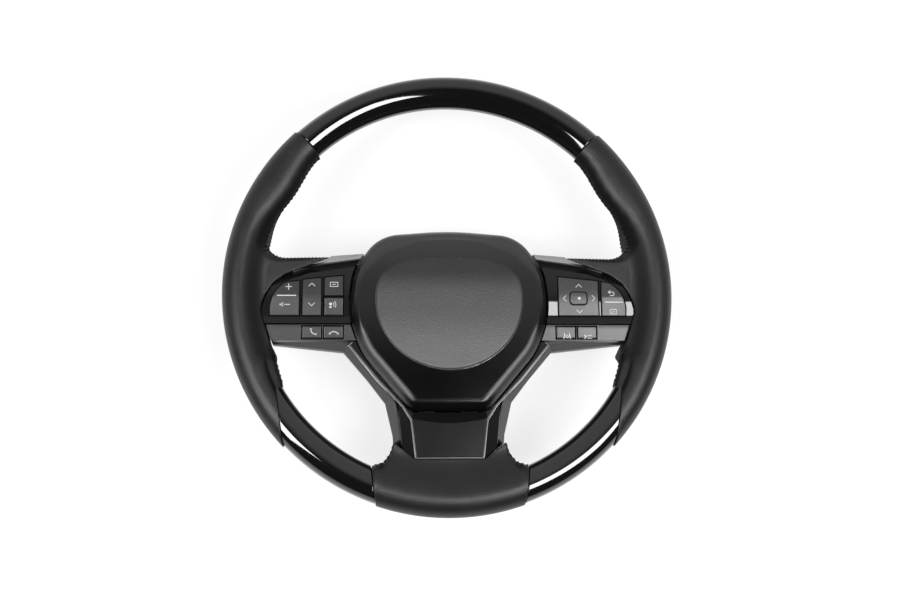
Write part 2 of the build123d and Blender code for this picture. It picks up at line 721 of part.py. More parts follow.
EAR = 1.6
EAR_WIDTH = 6.0
ear_y = gimbal_half_y + GIMBAL_BAR - EAR / 2
ear_x = gimbal_half_x + GIMBAL_BAR - EAR / 2


def cursor_key():
    """Four-way key: a cap with a window for the centre button and two ears over the gimbal's pins."""
    front = BEZEL_FRONT_Z + KEY_PROUD
    key = cap(right_keys["cursor_key"], front - CURSOR_CAP, front)
    for side in (1, -1):
        y = PIVOT_Y + side * ear_y
        ear = Pos(cursor_x, y) * Rectangle(EAR_WIDTH, EAR)
        key += slab(ear, PIVOT_Z - PIVOT_R - 1, front - 1)
        hole = Pos(cursor_x, y, PIVOT_Z) * extrude(Plane.XZ * Circle(PIVOT_R + PIVOT_PLAY), EAR, both=True)
        key -= hole
    return key - slab(inset(ok_face, -0.5), 0, FAR)


def pivot_rib(x, thickness, width):
    """Thin wall of the housing with a bearing hole for a stub pin."""
    rib = slab(Pos(x, PIVOT_Y) * Rectangle(thickness, width), arm_top_z, RIB_TOP_Z)
    return rib - pin_along_x(x - thickness, x + thickness, PIVOT_R + PIVOT_PLAY)


def switch_housing(ribs):
    """Open tray on the armature's arm, with ribs for the rockers and posts that carry the face plates."""
    tray = slab(tray_face, arm_top_z, HOUSING_TOP_Z)
    tray -= slab(inset(tray_face, HOUSING_WALL), arm_top_z + HOUSING_WALL, FAR)
    for x, thickness, width in ribs:
        tray += pivot_rib(x, thickness, width)
    for x, y in POSTS:
        tray += slab(Pos(x, y) * Rectangle(POST_WIDTH, POST_WIDTH), arm_top_z + 1, FACE_PLATE_Z)
    return tray - pad_clear


def pod_layer(z0, thickness, ribs):
    """Circuit board or dome mat, lying in the tray round its ribs and posts."""
    sheet = slab(inset(tray_face, HOUSING_WALL + 0.3), z0, z0 + thickness)
    for x, width_x, width_y in ribs:
        sheet -= slab(Pos(x, PIVOT_Y) * Rectangle(width_x + 0.6, width_y + 0.6), 0, FAR)
    for x, y in POSTS:
        sheet -= slab(Pos(x, y) * Rectangle(POST_WIDTH + 0.6, POST_WIDTH + 0.6), 0, FAR)
    return sheet - pad_clear


seek_rib_x = SEEK_X[0] - KEY_DIVIDER / 2
middle_rib_x = VOLUME_X - KEY_DIVIDER / 2
back_rib_x = BACK_X - KEY_DIVIDER / 2
end_rib_x = spoke_end_x - 7.0
left_ribs = [(seek_rib_x, 0.8, 8), (middle_rib_x, 1.2, 8), (end_rib_x, 1.0, 4)]
right_ribs = [
    (cursor_x - ear_x, EAR, EAR_WIDTH),
    (cursor_x + ear_x, EAR, EAR_WIDTH),
    (back_rib_x, 1.0, 8),
    (end_rib_x, 1.0, 4),
]
board_z = arm_top_z + HOUSING_WALL
mat_z = board_z + BOARD_THICKNESS


# Lower spoke trim

trim_top_y = PANEL_BOTTOM_Y - 0.6
insert_half = [
    (PAD_HALF_WIDTH - 4.5, trim_top_y),
    (PAD_HALF_WIDTH - 1.2, trim_top_y - 3.0),
    (PAD_HALF_WIDTH - 24.2, PAD_BOTTOM_Y + 27.0),
    (foot_x + 9.6, PAD_BOTTOM_Y + 5.0),
    (foot_x + 2.0, -108.4),
    (foot_x - 1.5, lower_end_y + 1.5),
]
insert_face = polygon(*mirror_points(insert_half))
wedge_face = polygon(
    *mirror_points(
        [
            (PAD_HALF_WIDTH - 2.0, trim_top_y),
            (PAD_HALF_WIDTH + 1.0, trim_top_y - 2.2),
            (PAD_HALF_WIDTH - 23.7, PAD_BOTTOM_Y + 25.0),
            (neck_x - 3.8, PAD_BOTTOM_Y + 7.5),
            (neck_x - 7.0, neck_y - 5.4),
            (foot_x, lower_end_y + 0.3),
        ]
    )
)


def lower_trim(face, z0, z1):
    return slab(face, z0, z1) - pad_clear


def lower_spoke_strip():
    """Thin bright line round the sides and foot of the insert."""
    band = inset(insert_face, -STRIP_WIDTH) - inset(insert_face, -0.1)
    top = slab(Pos(0, trim_top_y + 50) * Rectangle(400, 100), 0, FAR)
    return slab(band, INSERT_Z, INSERT_FRONT_Z + STRIP_PROUD) - top - pad_clear


# All pieces by name

right_trims = halves(right_trim())
top_trims = halves(top_trim())
grip = right_grip()
key_front = BEZEL_FRONT_Z + KEY_PROUD
panel_key_front = PANEL_FRONT_Z + KEY_PROUD
parts = {
    "armature": armature(),
    "rim_core": ring(),
    "left_grip": mirrored(grip),
    "right_grip": grip,
    "bottom_grip": bottom_grip(),
    "top_trim_front": top_trims[0],
    "top_trim_rear": top_trims[1],
    "right_trim_front": right_trims[0],
    "right_trim_rear": right_trims[1],
    "left_trim_front": mirrored(right_trims[0]),
    "left_trim_rear": mirrored(right_trims[1]),
    "rear_cover": rear_cover(),
    "rear_cover_screws": rear_cover_screws(),
    "airbag_cover": airbag_cover(),
    "airbag_base_plate": airbag_base_plate(),
    "airbag_inflator": airbag_inflator(),
    "folded_airbag": folded_airbag(),
    "horn_guide_pins": horn_guide_pins(),
    "horn_guide_bushes": horn_guide_bushes(),
    "horn_springs": horn_springs(),
    "left_bezel": mirrored(pod_plate(bezel_face, BEZEL_FRONT_Z, left_keys, True)),
    "right_bezel": pod_plate(bezel_face, BEZEL_FRONT_Z, right_keys, True),
    "left_lower_panel": mirrored(pod_plate(panel_face, PANEL_FRONT_Z, left_panel_keys, False)),
    "right_lower_panel": pod_plate(panel_face, PANEL_FRONT_Z, right_panel_keys, False),
    "left_switch_housing": mirrored(switch_housing(left_ribs)),
    "right_switch_housing": switch_housing(right_ribs),
    "left_switch_board": mirrored(pod_layer(board_z, BOARD_THICKNESS, left_ribs)),
    "right_switch_board": pod_layer(board_z, BOARD_THICKNESS, right_ribs),
    "left_key_mat": mirrored(pod_layer(mat_z, MAT_THICKNESS, left_ribs)),
    "right_key_mat": pod_layer(mat_z, MAT_THICKNESS, right_ribs),
    "volume_rocker": mirrored(
        rocking_key(left_keys["volume_rocker"], middle_rib_x + 0.1, end_rib_x + 0.5)
    ),
    "seek_rocker": mirrored(
        rocking_key(left_keys["seek_rocker"], seek_rib_x - 0.4, middle_rib_x - 0.1)
    ),
    "back_rocker": rocking_key(right_keys["back_rocker"], back_rib_x - 0.5, end_rib_x + 0.5),
    "cursor_gimbal": cursor_gimbal(),
    "cursor_key": cursor_key(),
    "ok_button": push_key(ok_face, key_front + OK_PROUD),
    "lower_spoke_bezel": lower_trim(wedge_face, LIP_Z, INSERT_Z),
    "lower_spoke_insert": lower_trim(insert_face, INSERT_Z, INSERT_FRONT_Z),
    "lower_spoke_strip": lower_spoke_strip(),
}
for name in ("mode_button", "voice_button"):
    parts[name] = mirrored(push_key(left_keys[name], key_front))
for name, outline in left_panel_keys.items():
    parts[name] = mirrored(push_key(outline, panel_key_front))
for name, outline in right_panel_keys.items():
    parts[name] = push_key(outline, panel_key_front)

os.makedirs("parts", exist_ok=True)
for name, shape in parts.items():
    export_step(shape, "parts/" + name + ".step")
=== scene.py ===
import json

import bmesh
import bpy
import numpy as np
from mathutils import Matrix
from numpy.linalg import norm


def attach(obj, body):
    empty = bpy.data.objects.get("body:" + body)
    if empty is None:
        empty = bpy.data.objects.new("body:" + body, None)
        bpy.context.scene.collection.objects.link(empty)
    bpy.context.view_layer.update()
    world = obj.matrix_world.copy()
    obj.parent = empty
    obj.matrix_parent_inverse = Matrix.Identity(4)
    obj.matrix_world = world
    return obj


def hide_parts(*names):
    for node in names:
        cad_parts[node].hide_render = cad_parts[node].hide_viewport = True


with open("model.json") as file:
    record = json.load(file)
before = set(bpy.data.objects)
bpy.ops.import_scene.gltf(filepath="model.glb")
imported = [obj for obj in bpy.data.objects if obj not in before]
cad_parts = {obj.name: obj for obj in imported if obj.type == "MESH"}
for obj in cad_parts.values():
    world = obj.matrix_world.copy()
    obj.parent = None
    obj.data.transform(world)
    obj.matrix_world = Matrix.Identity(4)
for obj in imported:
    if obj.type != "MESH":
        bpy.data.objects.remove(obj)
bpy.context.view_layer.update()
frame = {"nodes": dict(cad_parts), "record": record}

nodes = frame["nodes"]
node_body = {node: body for body, held in frame["record"]["behaviour"]["bodies"].items() for node in held}

# Pieces behind the others: the casting with its steel rim core, the horn's pins, bushes and springs, the
# inflator with its plate and cloth, and the boards and housings of the switches. They keep the shape of
# their CAD solids, each in the finish of its metal, plastic, cloth or rubber.
MM = 0.001


def wiring(tree):
    """Two helpers for a node tree: make gives a node with its settings and input values, and join ties
    outputs to inputs, each tie given as node, output, node, input."""

    def make(kind, values=(), **settings):
        node = tree.nodes.new("ShaderNode" + kind)
        for label, value in settings.items():
            setattr(node, label, value)
        for label, value in dict(values).items():
            node.inputs[label].default_value = value
        return node

    def join(*ties):
        for start, out, end, into in ties:
            tree.links.new(start.outputs[out], end.inputs[into])

    return make, join


def effect(name, takes, gives):
    """An empty node group with its sockets, the nodes at its two ends and the two helpers for it."""
    group = bpy.data.node_groups.new(name, "ShaderNodeTree")
    for way, sockets in (("INPUT", takes), ("OUTPUT", gives)):
        for label, kind in sockets.items():
            group.interface.new_socket(label, in_out=way, socket_type="NodeSocket" + kind)
    return group, group.nodes.new("NodeGroupInput"), group.nodes.new("NodeGroupOutput"), *wiring(group)


def grain_group():
    """Pebbled grain: cells with rounded tops parted by fine creases, warped by noise, and a slow
    change of tone. Inputs are the point, the cells per metre and the share of fine noise."""
    takes = {"Point": "Vector", "Cells": "Float", "Fine": "Float"}
    group, given, result, make, join = effect("pebbled_grain", takes, {"Height": "Float", "Tone": "Float"})
    warp = make("TexNoise", {"Scale": 420.0})
    bent = make("VectorMath", {1: (0.0006,) * 3}, operation="MULTIPLY_ADD")
    cells = make("TexVoronoi", feature="DISTANCE_TO_EDGE")
    crease = make("MapRange", {"From Max": 0.28}, interpolation_type="SMOOTHSTEP")
    fine = make("TexNoise", {"Scale": 2600.0, "Detail": 3.0})
    total = make("Math", operation="MULTIPLY_ADD")
    tone = make("TexNoise", {"Scale": 38.0, "Detail": 4.0})
    join(
        (given, "Point", warp, "Vector"), (warp, "Color", bent, 0), (given, "Point", bent, 2),
        (bent, "Vector", cells, "Vector"), (given, "Cells", cells, "Scale"),
        (cells, "Distance", crease, "Value"), (given, "Point", fine, "Vector"),
        (fine, "Fac", total, 0), (given, "Fine", total, 1), (crease, "Result", total, 2),
        (given, "Point", tone, "Vector"), (total, "Value", result, "Height"), (tone, "Fac", result, "Tone"),
    )
    return group


pebbled_grain = grain_group()


def grained(name, dark, light, roughness, cells, fine, depth, specular=0.5, rough_spread=0.08, metallic=0.0):
    """A soft grained finish: the colour drifts between dark and light with the tone of the grain, the
    roughness a little with it, and the height of the grain is a bump of that depth in millimetres."""
    material = bpy.data.materials.new(name)
    material.use_nodes = True
    make, join = wiring(material.node_tree)
    shader = material.node_tree.nodes["Principled BSDF"]
    shader.inputs["Specular IOR Level"].default_value = specular
    shader.inputs["Metallic"].default_value = metallic
    point = make("TexCoord")
    grain = make("Group", {"Cells": cells, "Fine": fine}, node_tree=pebbled_grain)
    shade = make("Mix", {"A": (*dark, 1), "B": (*light, 1)}, data_type="RGBA")
    rough = make("MapRange", {"To Min": roughness - rough_spread, "To Max": roughness + rough_spread})
    bump = make("Bump", {"Distance": depth * MM})
    join(
        (point, "Object", grain, "Point"), (grain, "Tone", shade, "Factor"),
        (shade, "Result", shader, "Base Color"), (grain, "Tone", rough, "Value"),
        (rough, "Result", shader, "Roughness"), (grain, "Height", bump, "Height"),
        (bump, "Normal", shader, "Normal"),
    )
    return material


inside = [
    (grained("die_cast_metal", (0.42, 0.42, 0.43), (0.55, 0.55, 0.56), 0.48, 700, 0.8, 0.03, metallic=1.0),
     ("armature",)),
    (grained("plated_steel", (0.50, 0.50, 0.51), (0.60, 0.60, 0.62), 0.30, 1800, 0.6, 0.008, metallic=1.0),
     ("rim_core", "rear_cover_screws", "airbag_base_plate", "airbag_inflator", "horn_guide_pins",
      "horn_springs")),
    (grained("woven_cloth", (0.66, 0.65, 0.62), (0.76, 0.75, 0.72), 0.85, 1600, 0.8, 0.08),
     ("folded_airbag",)),
    (grained("pale_plastic", (0.62, 0.61, 0.57), (0.70, 0.69, 0.66), 0.45, 1500, 0.5, 0.01),
     ("horn_guide_bushes", "cursor_gimbal")),
    (grained("dark_plastic", (0.022, 0.022, 0.022), (0.034, 0.034, 0.034), 0.5, 1500, 0.5, 0.02),
     ("left_switch_housing", "right_switch_housing")),
    (grained("coated_board", (0.020, 0.13, 0.06), (0.035, 0.18, 0.09), 0.35, 900, 0.4, 0.01),
     ("left_switch_board", "right_switch_board")),
    (grained("dome_rubber", (0.30, 0.30, 0.31), (0.37, 0.37, 0.38), 0.7, 1500, 0.5, 0.02),
     ("left_key_mat", "right_key_mat")),
]
for finish, held in inside:
    for node in held:
        nodes[node].data.materials.clear()
        nodes[node].data.materials.append(finish)

# Leather of the side grips. Panels of smooth black hide are sewn round the foam of the rim and
# drawn over the roots of the spokes. The two edges of each panel meet on the inside of the rim,
# where a row of stitches pulls the hide into small scallops.
RIM_R, RIM_Z = 187.5, 72.0
GRIP_R = 15.25
WEB_FRONT_Z, WEB_REAR_Z = 73.6, 40.0
FRONT_CREST, REAR_CREST, REAR_REACH = 0.92, 0.8, 22.0
REAR_EDGE_R = 4.0
STITCH_PITCH, THREAD_R = 4.2, 0.34
BEAD_HEIGHT, BEAD_REACH, BEAD_POWER, BEAD_LEVEL = 1.0, 4.2, 0.7, 0.45
SEAM_SINK, SEAM_REACH = 0.55, 0.8
PUCKER_HEIGHT, PUCKER_AWAY, PUCKER_REACH = 0.10, 7.0, 5.0
FRONT_ROWS, WALL_ROWS, REAR_ROWS = 52, 5, 34
SEAM_ROW = FRONT_ROWS - 1
BLUR_STEPS, BLUR_WIDTH = 6, 1.1
THUMB_R, THUMB_SWELL, THUMB_START, THUMB_SPAN = 157.0, 4.6, 46, 27.5
PALM_R, PALM_CHORD, PALM_ANGLE = 157.6, 150.9, 19
SHADED_SIDE, HIDE_GLOSS, SEAM_GLOSS = (0.48, 0.80), 0.40, 0.10


def smooth(x, low, high):
    """Smooth step from 0 at low to 1 at high."""
    t = np.clip((x - low) / (high - low), 0.0, 1.0)
    return t * t * (3 - 2 * t)


def at_angle(radius, degrees):
    """Points on a circle round the column axis."""
    turn = np.radians(degrees)
    return np.stack([radius * np.cos(turn), radius * np.sin(turn)], -1)


def unit(vectors):
    """Vectors brought to length one."""
    return vectors / norm(vectors, axis=-1, keepdims=True)


def lengths(line):
    """Length of a line from its start to each of its points."""
    return np.r_[0, np.cumsum(norm(np.diff(line, axis=0), axis=1))]


def read_at(places, way, values):
    """Columns of values, known at the lengths in way, read at other places."""
    return np.stack([np.interp(places, way, column) for column in values.T], -1)


def raised(flat, z):
    """Plan points set at a height, one for all of them or one for each."""
    return np.column_stack([flat, np.broadcast_to(z, len(flat))])


def quads_of(index):
    """Corners of the quads between neighbours in grids of point numbers [..., line, place]. The last
    place of each line joins its first."""
    index = np.concatenate([index, index[..., :1]], -1)
    corners = [index[..., :-1, :-1], index[..., 1:, :-1], index[..., 1:, 1:], index[..., :-1, 1:]]
    return np.stack(corners, -1).reshape(-1, 4)


def placed(name, data):
    """A new object in the scene."""
    item = bpy.data.objects.new(name, data)
    bpy.context.scene.collection.objects.link(item)
    return item


def cleaned(name, points, quads):
    """A piece from points in millimetres and quads: points that coincide become one, the faces turn
    outwards and the shading is smooth."""
    mesh = bpy.data.meshes.new(name)
    mesh.from_pydata(points.reshape(-1, 3) * MM, [], quads.tolist())
    shape = bmesh.new()
    shape.from_mesh(mesh)
    bmesh.ops.remove_doubles(shape, verts=shape.verts, dist=1e-6)
    bmesh.ops.dissolve_degenerate(shape, edges=shape.edges, dist=1e-7)
    bmesh.ops.recalc_face_normals(shape, faces=shape.faces)
    shape.to_mesh(mesh)
    shape.free()
    mesh.shade_smooth()
    return placed(name, mesh)


def surface(name, points):
    """A piece whose quads lie between neighbours of a grid of points [line, place, xyz]."""
    lines, places = points.shape[:2]
    return cleaned(name, points, quads_of(np.arange(lines * places).reshape(lines, places)))


def along(runs, step):
    """One plan line through several runs. Each run has points [n, 2] and pairs of values, from
    start to end, for the outer angle, the web share, the edge rounding and the stitching. The line
    comes back at even steps, a little smoothed, with its values and its length so far."""
    points, values = [], []
    for run, *pairs in runs:
        run = np.asarray(run, float)
        way = lengths(run)
        points.append(run)
        values.append(np.stack([pair[0] + (pair[1] - pair[0]) * way / way[-1] for pair in pairs], -1))
    points, values = np.concatenate(points), np.concatenate(values)
    way = np.r_[0, np.cumsum(norm(np.diff(points, axis=0), axis=1) + 1e-6)]
    even = np.linspace(0, way[-1], int(way[-1] / step) + 1)
    soft = np.exp(-0.5 * (np.arange(-BLUR_STEPS, BLUR_STEPS + 1) * step / BLUR_WIDTH) ** 2)
    soft /= soft.sum()

    def blur(a):
        before, after = a[BLUR_STEPS:0:-1], a[-2 : -BLUR_STEPS - 2 : -1]
        padded = np.concatenate([2 * a[:1] - before, a, 2 * a[-1:] - after])
        return np.stack([np.convolve(padded[:, k], soft, "valid") for k in range(a.shape[1])], -1)

    return blur(read_at(even, way, points)), blur(read_at(even, way, values)), even


def leather_sections(runs, joint=None, joint_start=0.0, step=0.75, reach=23.0):
    """Surface of a grip. From each point of the outer circle a straight plan line runs to the inner
    edge. Along it the height is an ellipse where the rim is plain. Where the leather covers a spoke
    root it is the round crest of the rim falling to the level of the web, rounded at the edge.
    Returns points, outward normals, the stitching share and the way along."""
    edge, value, way = along(runs, step)
    outer_deg, web, edge_r, sewn = value.T
    web = smooth(web, 0, 1)
    outer = at_angle(RIM_R, outer_deg)
    turn = np.linspace(0, np.pi, FRONT_ROWS)
    share = (1 - np.cos(turn)) / 2
    rear_turn = np.linspace(np.pi, 2 * np.pi, REAR_ROWS + 1)[:-1]
    rear_share = (1 - np.cos(rear_turn)) / 2

    def plan(s):
        """Points at the shares s of each plan line, bent on to the slanted joint at its end."""
        p = outer[:, None] + s[None, :, None] * (edge - outer)[:, None]
        if joint is not None:
            bend = smooth(way / way[-1], joint_start, 1)[:, None]
            p[..., 0] += bend * (np.interp(p[-1, :, 1], joint[:, 1], joint[:, 0]) - p[-1, :, 0])[None]
        return p

    def rounded(s, radius):
        """Drop of a rounded edge with that radius, from the distance to the edge line."""
        p = plan(s)
        gap = np.min(norm(p[:, :, None] - edge[None, None, ::4], axis=-1), axis=-1)
        near = 1 - np.clip(gap / radius[:, None], 0, 1)
        return radius[:, None] * (1 - np.sqrt(np.clip(1 - near**2, 0, 1)))

    def crest_of(depth):
        """Height of the round crest at a depth from the outside of the rim."""
        return GRIP_R * np.sqrt(np.clip(1 - (np.minimum(depth, GRIP_R) / GRIP_R - 1) ** 2, 0, 1))

    front, rear = plan(share), plan(rear_share)
    depth = RIM_R - norm(front, axis=-1)
    level = WEB_FRONT_Z - RIM_Z
    fall = 1 - smooth(depth, GRIP_R * FRONT_CREST, GRIP_R * FRONT_CREST + reach)
    web_z = np.where(depth < GRIP_R * FRONT_CREST, crest_of(depth), level + (GRIP_R - level) * fall)
    web_z = web_z - rounded(share, edge_r)
    round_z = GRIP_R * np.sin(turn)[None]
    front_z = RIM_Z + round_z + web[:, None] * (web_z - round_z)

    depth = RIM_R - norm(rear, axis=-1)
    level = RIM_Z - WEB_REAR_Z
    crest_end = GRIP_R * REAR_CREST
    drop = GRIP_R + (level - GRIP_R) * smooth(depth, crest_end, crest_end + REAR_REACH)
    web_z = np.where(depth < crest_end, crest_of(depth), drop)
    web_z = web_z - rounded(rear_share, np.maximum(edge_r, REAR_EDGE_R))
    round_z = -GRIP_R * np.sin(rear_turn)[None]
    rear_z = RIM_Z - (round_z + web[:, None] * (web_z - round_z))

    down = np.linspace(0, 1, WALL_ROWS + 2)[1:-1]
    wall_xy = np.repeat(plan(np.array([1.0])), WALL_ROWS, axis=1)
    wall_z = front_z[:, -1:] + (rear_z[:, :1] - front_z[:, -1:]) * down[None]
    points = np.concatenate(
        [np.dstack([front, front_z]), np.dstack([wall_xy, wall_z]), np.dstack([rear, rear_z])], axis=1
    )
    across = np.roll(points, -1, 1) - np.roll(points, 1, 1)
    normals = np.cross(np.gradient(points, axis=0), across)
    normals /= norm(normals, axis=-1, keepdims=True) + 1e-9
    flat = points[:, :, 2] - points[:, SEAM_ROW:FRONT_ROWS, 2]
    apart = norm(points - points[:, SEAM_ROW:FRONT_ROWS], axis=-1)
    bead = np.abs(np.sin(np.pi * way / STITCH_PITCH)) ** BEAD_POWER - BEAD_LEVEL
    lift = BEAD_HEIGHT * bead[:, None] * np.exp(-((apart / BEAD_REACH) ** 2))
    lift -= SEAM_SINK * np.exp(-((apart / SEAM_REACH) ** 2))
    pucker = PUCKER_HEIGHT * np.sin(2.3 * way[:, None] / STITCH_PITCH + 0.4 * flat)
    lift += pucker * np.exp(-(((apart - PUCKER_AWAY) / PUCKER_REACH) ** 2))
    points = points + (sewn[:, None] * lift)[..., None] * normals
    return points, normals, sewn, way


def capped(points):
    """Rounds both ends of a grip over and closes them: each end line is drawn in towards the middle
    of its section in small steps, and last of all to a point."""
    ends = []
    for last, before in ((0, 1), (-1, -2)):
        line = points[last]
        middle = line.mean(0)
        out = unit((line - points[before]).mean(0))
        steps = [middle + (line - middle) * k + out * d for k, d in
                 ((0.990, 0.28), (0.970, 0.50), (0.940, 0.60), (0.86, 0.62), (0.0, 0.62))]
        ends.append(np.stack(steps[::-1] if last == 0 else steps))
    return np.concatenate([ends[0], points, ends[1]])


def stitch_row(name, points, normals, sewn, way):
    """Short threads across the seam: at each stitch a row of surface points, lifted a little, is the
    path of a thin tube with six sides."""
    places = np.arange(STITCH_PITCH * 0.5, way[-1], STITCH_PITCH)
    line = np.searchsorted(way, places)
    line = line[(sewn[np.clip(line, 0, len(sewn) - 1)] > 0.6) & (line > 4) & (line < len(way) - 4)]
    reach = np.array([-3, -2, -1, 0, 1, 2, 3])
    sink = np.array([-0.5, 0.1, 0.3, 0.38, 0.3, 0.1, -0.5])
    rows = (SEAM_ROW + reach)[None]
    spots = points[line[:, None], rows] + sink[None, :, None] * normals[line[:, None], rows]
    tangent = np.gradient(spots, axis=1)
    tangent /= norm(tangent, axis=-1, keepdims=True) + 1e-9
    up = normals[line[:, None], rows]
    side = np.cross(tangent, up)
    ring = np.linspace(0, 2 * np.pi, 7)[:-1, None]
    tube = spots[:, :, None] + THREAD_R * (np.cos(ring) * up[:, :, None] + np.sin(ring) * side[:, :, None])
    tube = np.concatenate([spots[:, :1, None].repeat(6, 2), tube, spots[:, -1:, None].repeat(6, 2)], 1)
    count, length = tube.shape[:2]
    return cleaned(name, tube, quads_of(np.arange(count * length * 6).reshape(count, length, 6)))


leather = grained("smooth_black_hide", (0.004, 0.004, 0.0041), (0.007, 0.007, 0.0071), 0.38, 900, 0.35, 0.05)
thread = grained("sewing_thread", (0.006, 0.006, 0.0062), (0.012, 0.012, 0.0122), 0.7, 2600, 0.6, 0.05, 0.2)


def skins_group():
    """Two skins on one piece: the share of the second one and the gloss are read from the mesh, and the
    colour and the roughness go over from the first skin to the second by that share."""
    takes = {"Colour": "Color", "Second Colour": "Color", "Rough": "Float", "Second Rough": "Float"}
    gives = {"Colour": "Color", "Rough": "Float", "Share": "Float", "Gloss": "Float"}
    group, given, result, make, join = effect("two_skins", takes, gives)
    share, gloss = [make("Attribute", attribute_name=label) for label in ("second_skin", "gloss")]
    tint, dull = make("Mix", data_type="RGBA"), make("Mix")
    for step, label in ((tint, "Colour"), (dull, "Rough")):
        join((share, "Fac", step, "Factor"), (given, label, step, "A"),
             (given, "Second " + label, step, "B"), (step, "Result", result, label))
    join((share, "Fac", result, "Share"), (gloss, "Fac", result, "Gloss"))
    return group


two_skins = skins_group()


def two_skinned(material, colour, roughness, sheen=0.0):
    """Gives a grained finish a second skin of that colour and roughness where the mesh asks for it."""
    tree = material.node_tree
    make, join = wiring(tree)
    shader = tree.nodes["Principled BSDF"]
    second = {"Second Colour": (*colour, 1), "Second Rough": roughness}
    skins = make("Group", second, node_tree=two_skins)
    for label, into in (("Colour", "Base Color"), ("Rough", "Roughness")):
        tree.links.new(shader.inputs[into].links[0].from_socket, skins.inputs[label])
        join((skins, label, shader, into))
    join((skins, "Gloss", shader, "Specular IOR Level"))
    if sheen:
        glow = make("Math", {1: sheen}, operation="MULTIPLY")
        join((skins, "Share", glow, 0), (glow, "Value", shader, "Sheen Weight"))
        shader.inputs["Sheen Roughness"].default_value = 0.35


def set_skins(piece, share, gloss):
    """Stores the share of the second skin and the gloss at each point of a mesh."""
    for label, values in (("second_skin", share), ("gloss", gloss)):
        piece.data.attributes.new(label, "FLOAT", "POINT").data.foreach_set("value", values)


# The hide's second skin is painted shade: its inner side, facing the column axis, is a little darker in
# colour and duller.
two_skinned(leather, (0.004, 0.004, 0.0041), 0.6)


def read(items, label):
    """A vector of each point or face of a mesh, as rows."""
    rows = np.empty(len(items) * 3)
    items.foreach_get(label, rows)
    return rows.reshape(-1, 3)


def fixed(piece, finish):
    """A piece that is fixed to the wheel, with its finish."""
    piece.data.materials.append(finish)
    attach(piece, "wheel")


def hung(side, section, turned=(1.0, 1.0, 1.0)):
    """A panel of hide with its sewing, in the place of the grip on that side. Where it faces the column axis
    it is made duller and painted a little darker: painted shade."""
    points, normals, sewn, way = section
    hide = surface(side + "_leather", capped(points) * turned)
    place, normal = read(hide.data.vertices, "co")[:, :2], read(hide.data.vertices, "normal")[:, :2]
    inwards = -(place * normal).sum(1) / norm(place, axis=1)
    shaded_side = smooth(inwards, *SHADED_SIDE)
    set_skins(hide, shaded_side, HIDE_GLOSS + (SEAM_GLOSS - HIDE_GLOSS) * shaded_side)
    fixed(hide, leather)
    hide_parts(side + "_grip")
    sewing = stitch_row(side + "_stitches", points * turned, normals * turned, sewn, way)
    fixed(sewing, thread)


side_joint = np.array([[134.65, -130.5], [141.0, -83.5], [136.3, -80.0]])


def thumb_edge(degrees):
    """Inner edge of the rim beside the thumb: the plain circle drawn in by a sine-squared swelling."""
    swell = THUMB_SWELL * np.sin(np.pi * np.clip((THUMB_START - degrees) / THUMB_SPAN, 0, 1)) ** 2
    return at_angle(THUMB_R - swell, degrees)


def palm_edge(degrees):
    """Inner edge of the rim below the spoke: a chord of the plain circle."""
    return at_angle(np.minimum(PALM_R, PALM_CHORD / np.cos(np.radians(degrees + PALM_ANGLE))), degrees)


hollow = (136, 45.2) + at_angle(18, np.linspace(-25, -90, 30))
right_runs = [
    (thumb_edge(np.linspace(46, 27, 40)), (46, 27), (0, 0), (8, 8), (1, 1)),
    (thumb_edge(np.linspace(27, 14.0, 30)), (27, 13), (0, 1), (8, 8), (1, 0.9)),
    (hollow, (13, 6.5), (1, 1), (8, 8), (0.9, 0)),
    ([(136, 27.2), (99, 27.2)], (6.5, 4), (1, 1), (8, 4), (0, 0)),
    ([(99, 27.2), (136, 13)], (4, 0.5), (1, 1), (1.2, 1.2), (0, 0)),
    ([(136, 13), (146, 5.5), (152.3, -4.5), (154.9, -13), (155.2, -19.5)],
     (0.5, -8), (1, 1), (1.2, 1.2), (0, 0)),
    ([(155.2, -19.5), (152.2, -29.2), (147, -43.2)], (-8, -14), (1, 1), (1.2, 2), (0, 0)),
    ([(147, -43.2), (142.4, -51)], (-14, -18.5), (1, 1), (2, 6), (0, 0.4)),
    (palm_edge(np.linspace(-19.8, -25, 14)), (-18.5, -26), (1, 0), (6, 8), (0.6, 1)),
    (palm_edge(np.linspace(-25, -30.4, 20)), (-26, -44.1), (0, 0), (8, 8), (1, 1)),
]
right_hide = leather_sections(right_runs, side_joint, 0.78)
hung("right", right_hide)
hung("left", right_hide, (-1.0, 1.0, 1.0))

# Leather of the bottom grip. One more panel of the same hide covers the lowest part of the rim and
# the root of the lower spoke, with two small horns that run up beside the spoke. It is sewn alike.
bottom_half = [
    ([(62.9, -145.5), (54, -143.2)], (-71.5, -73.4), (0.0, 1), (7, 6), (1, 1)),
    ([(54, -143.2), (48.2, -135.3), (46, -126.5)], (-73.4, -76), (1, 1), (6, 3), (1, 0.4)),
    ([(46, -126.5), (29, -140.3)], (-76, -81), (1, 1), (1.5, 1.5), (0, 0)),
    ([(29, -140.3), (0, -140.3)], (-81, -90), (1, 1), (1.5, 1.5), (0, 0)),
]
bottom_runs = bottom_half + [
    ([(-x, y) for x, y in reversed(run)], (-180 - angle[1], -180 - angle[0]),
     web[::-1], edge_round[::-1], stitched[::-1])
    for run, angle, web, edge_round, stitched in reversed(bottom_half)
]
hung("bottom", leather_sections(bottom_runs, step=0.6, reach=34.0))

# Gloss rim segments. Each is a pair of moulded half shells, lacquered piano black, that meet on the
# middle plane of the rim in a hairline parting, with ends cut to the slant of the leather joints.
# A dark liner under each shell reaches below the leather and closes the view through the joints.
TRIM_R, TRIM_RADIUS = 172.45, 13.75
HAIRLINE = 0.05
JOINT_GAP = 1.0
LINER_STEP, LINER_REACH = 1.3, 3.0
CREST_LEAN = 1.8
BOW_PLACES, BACK_PLACES = 49, 9


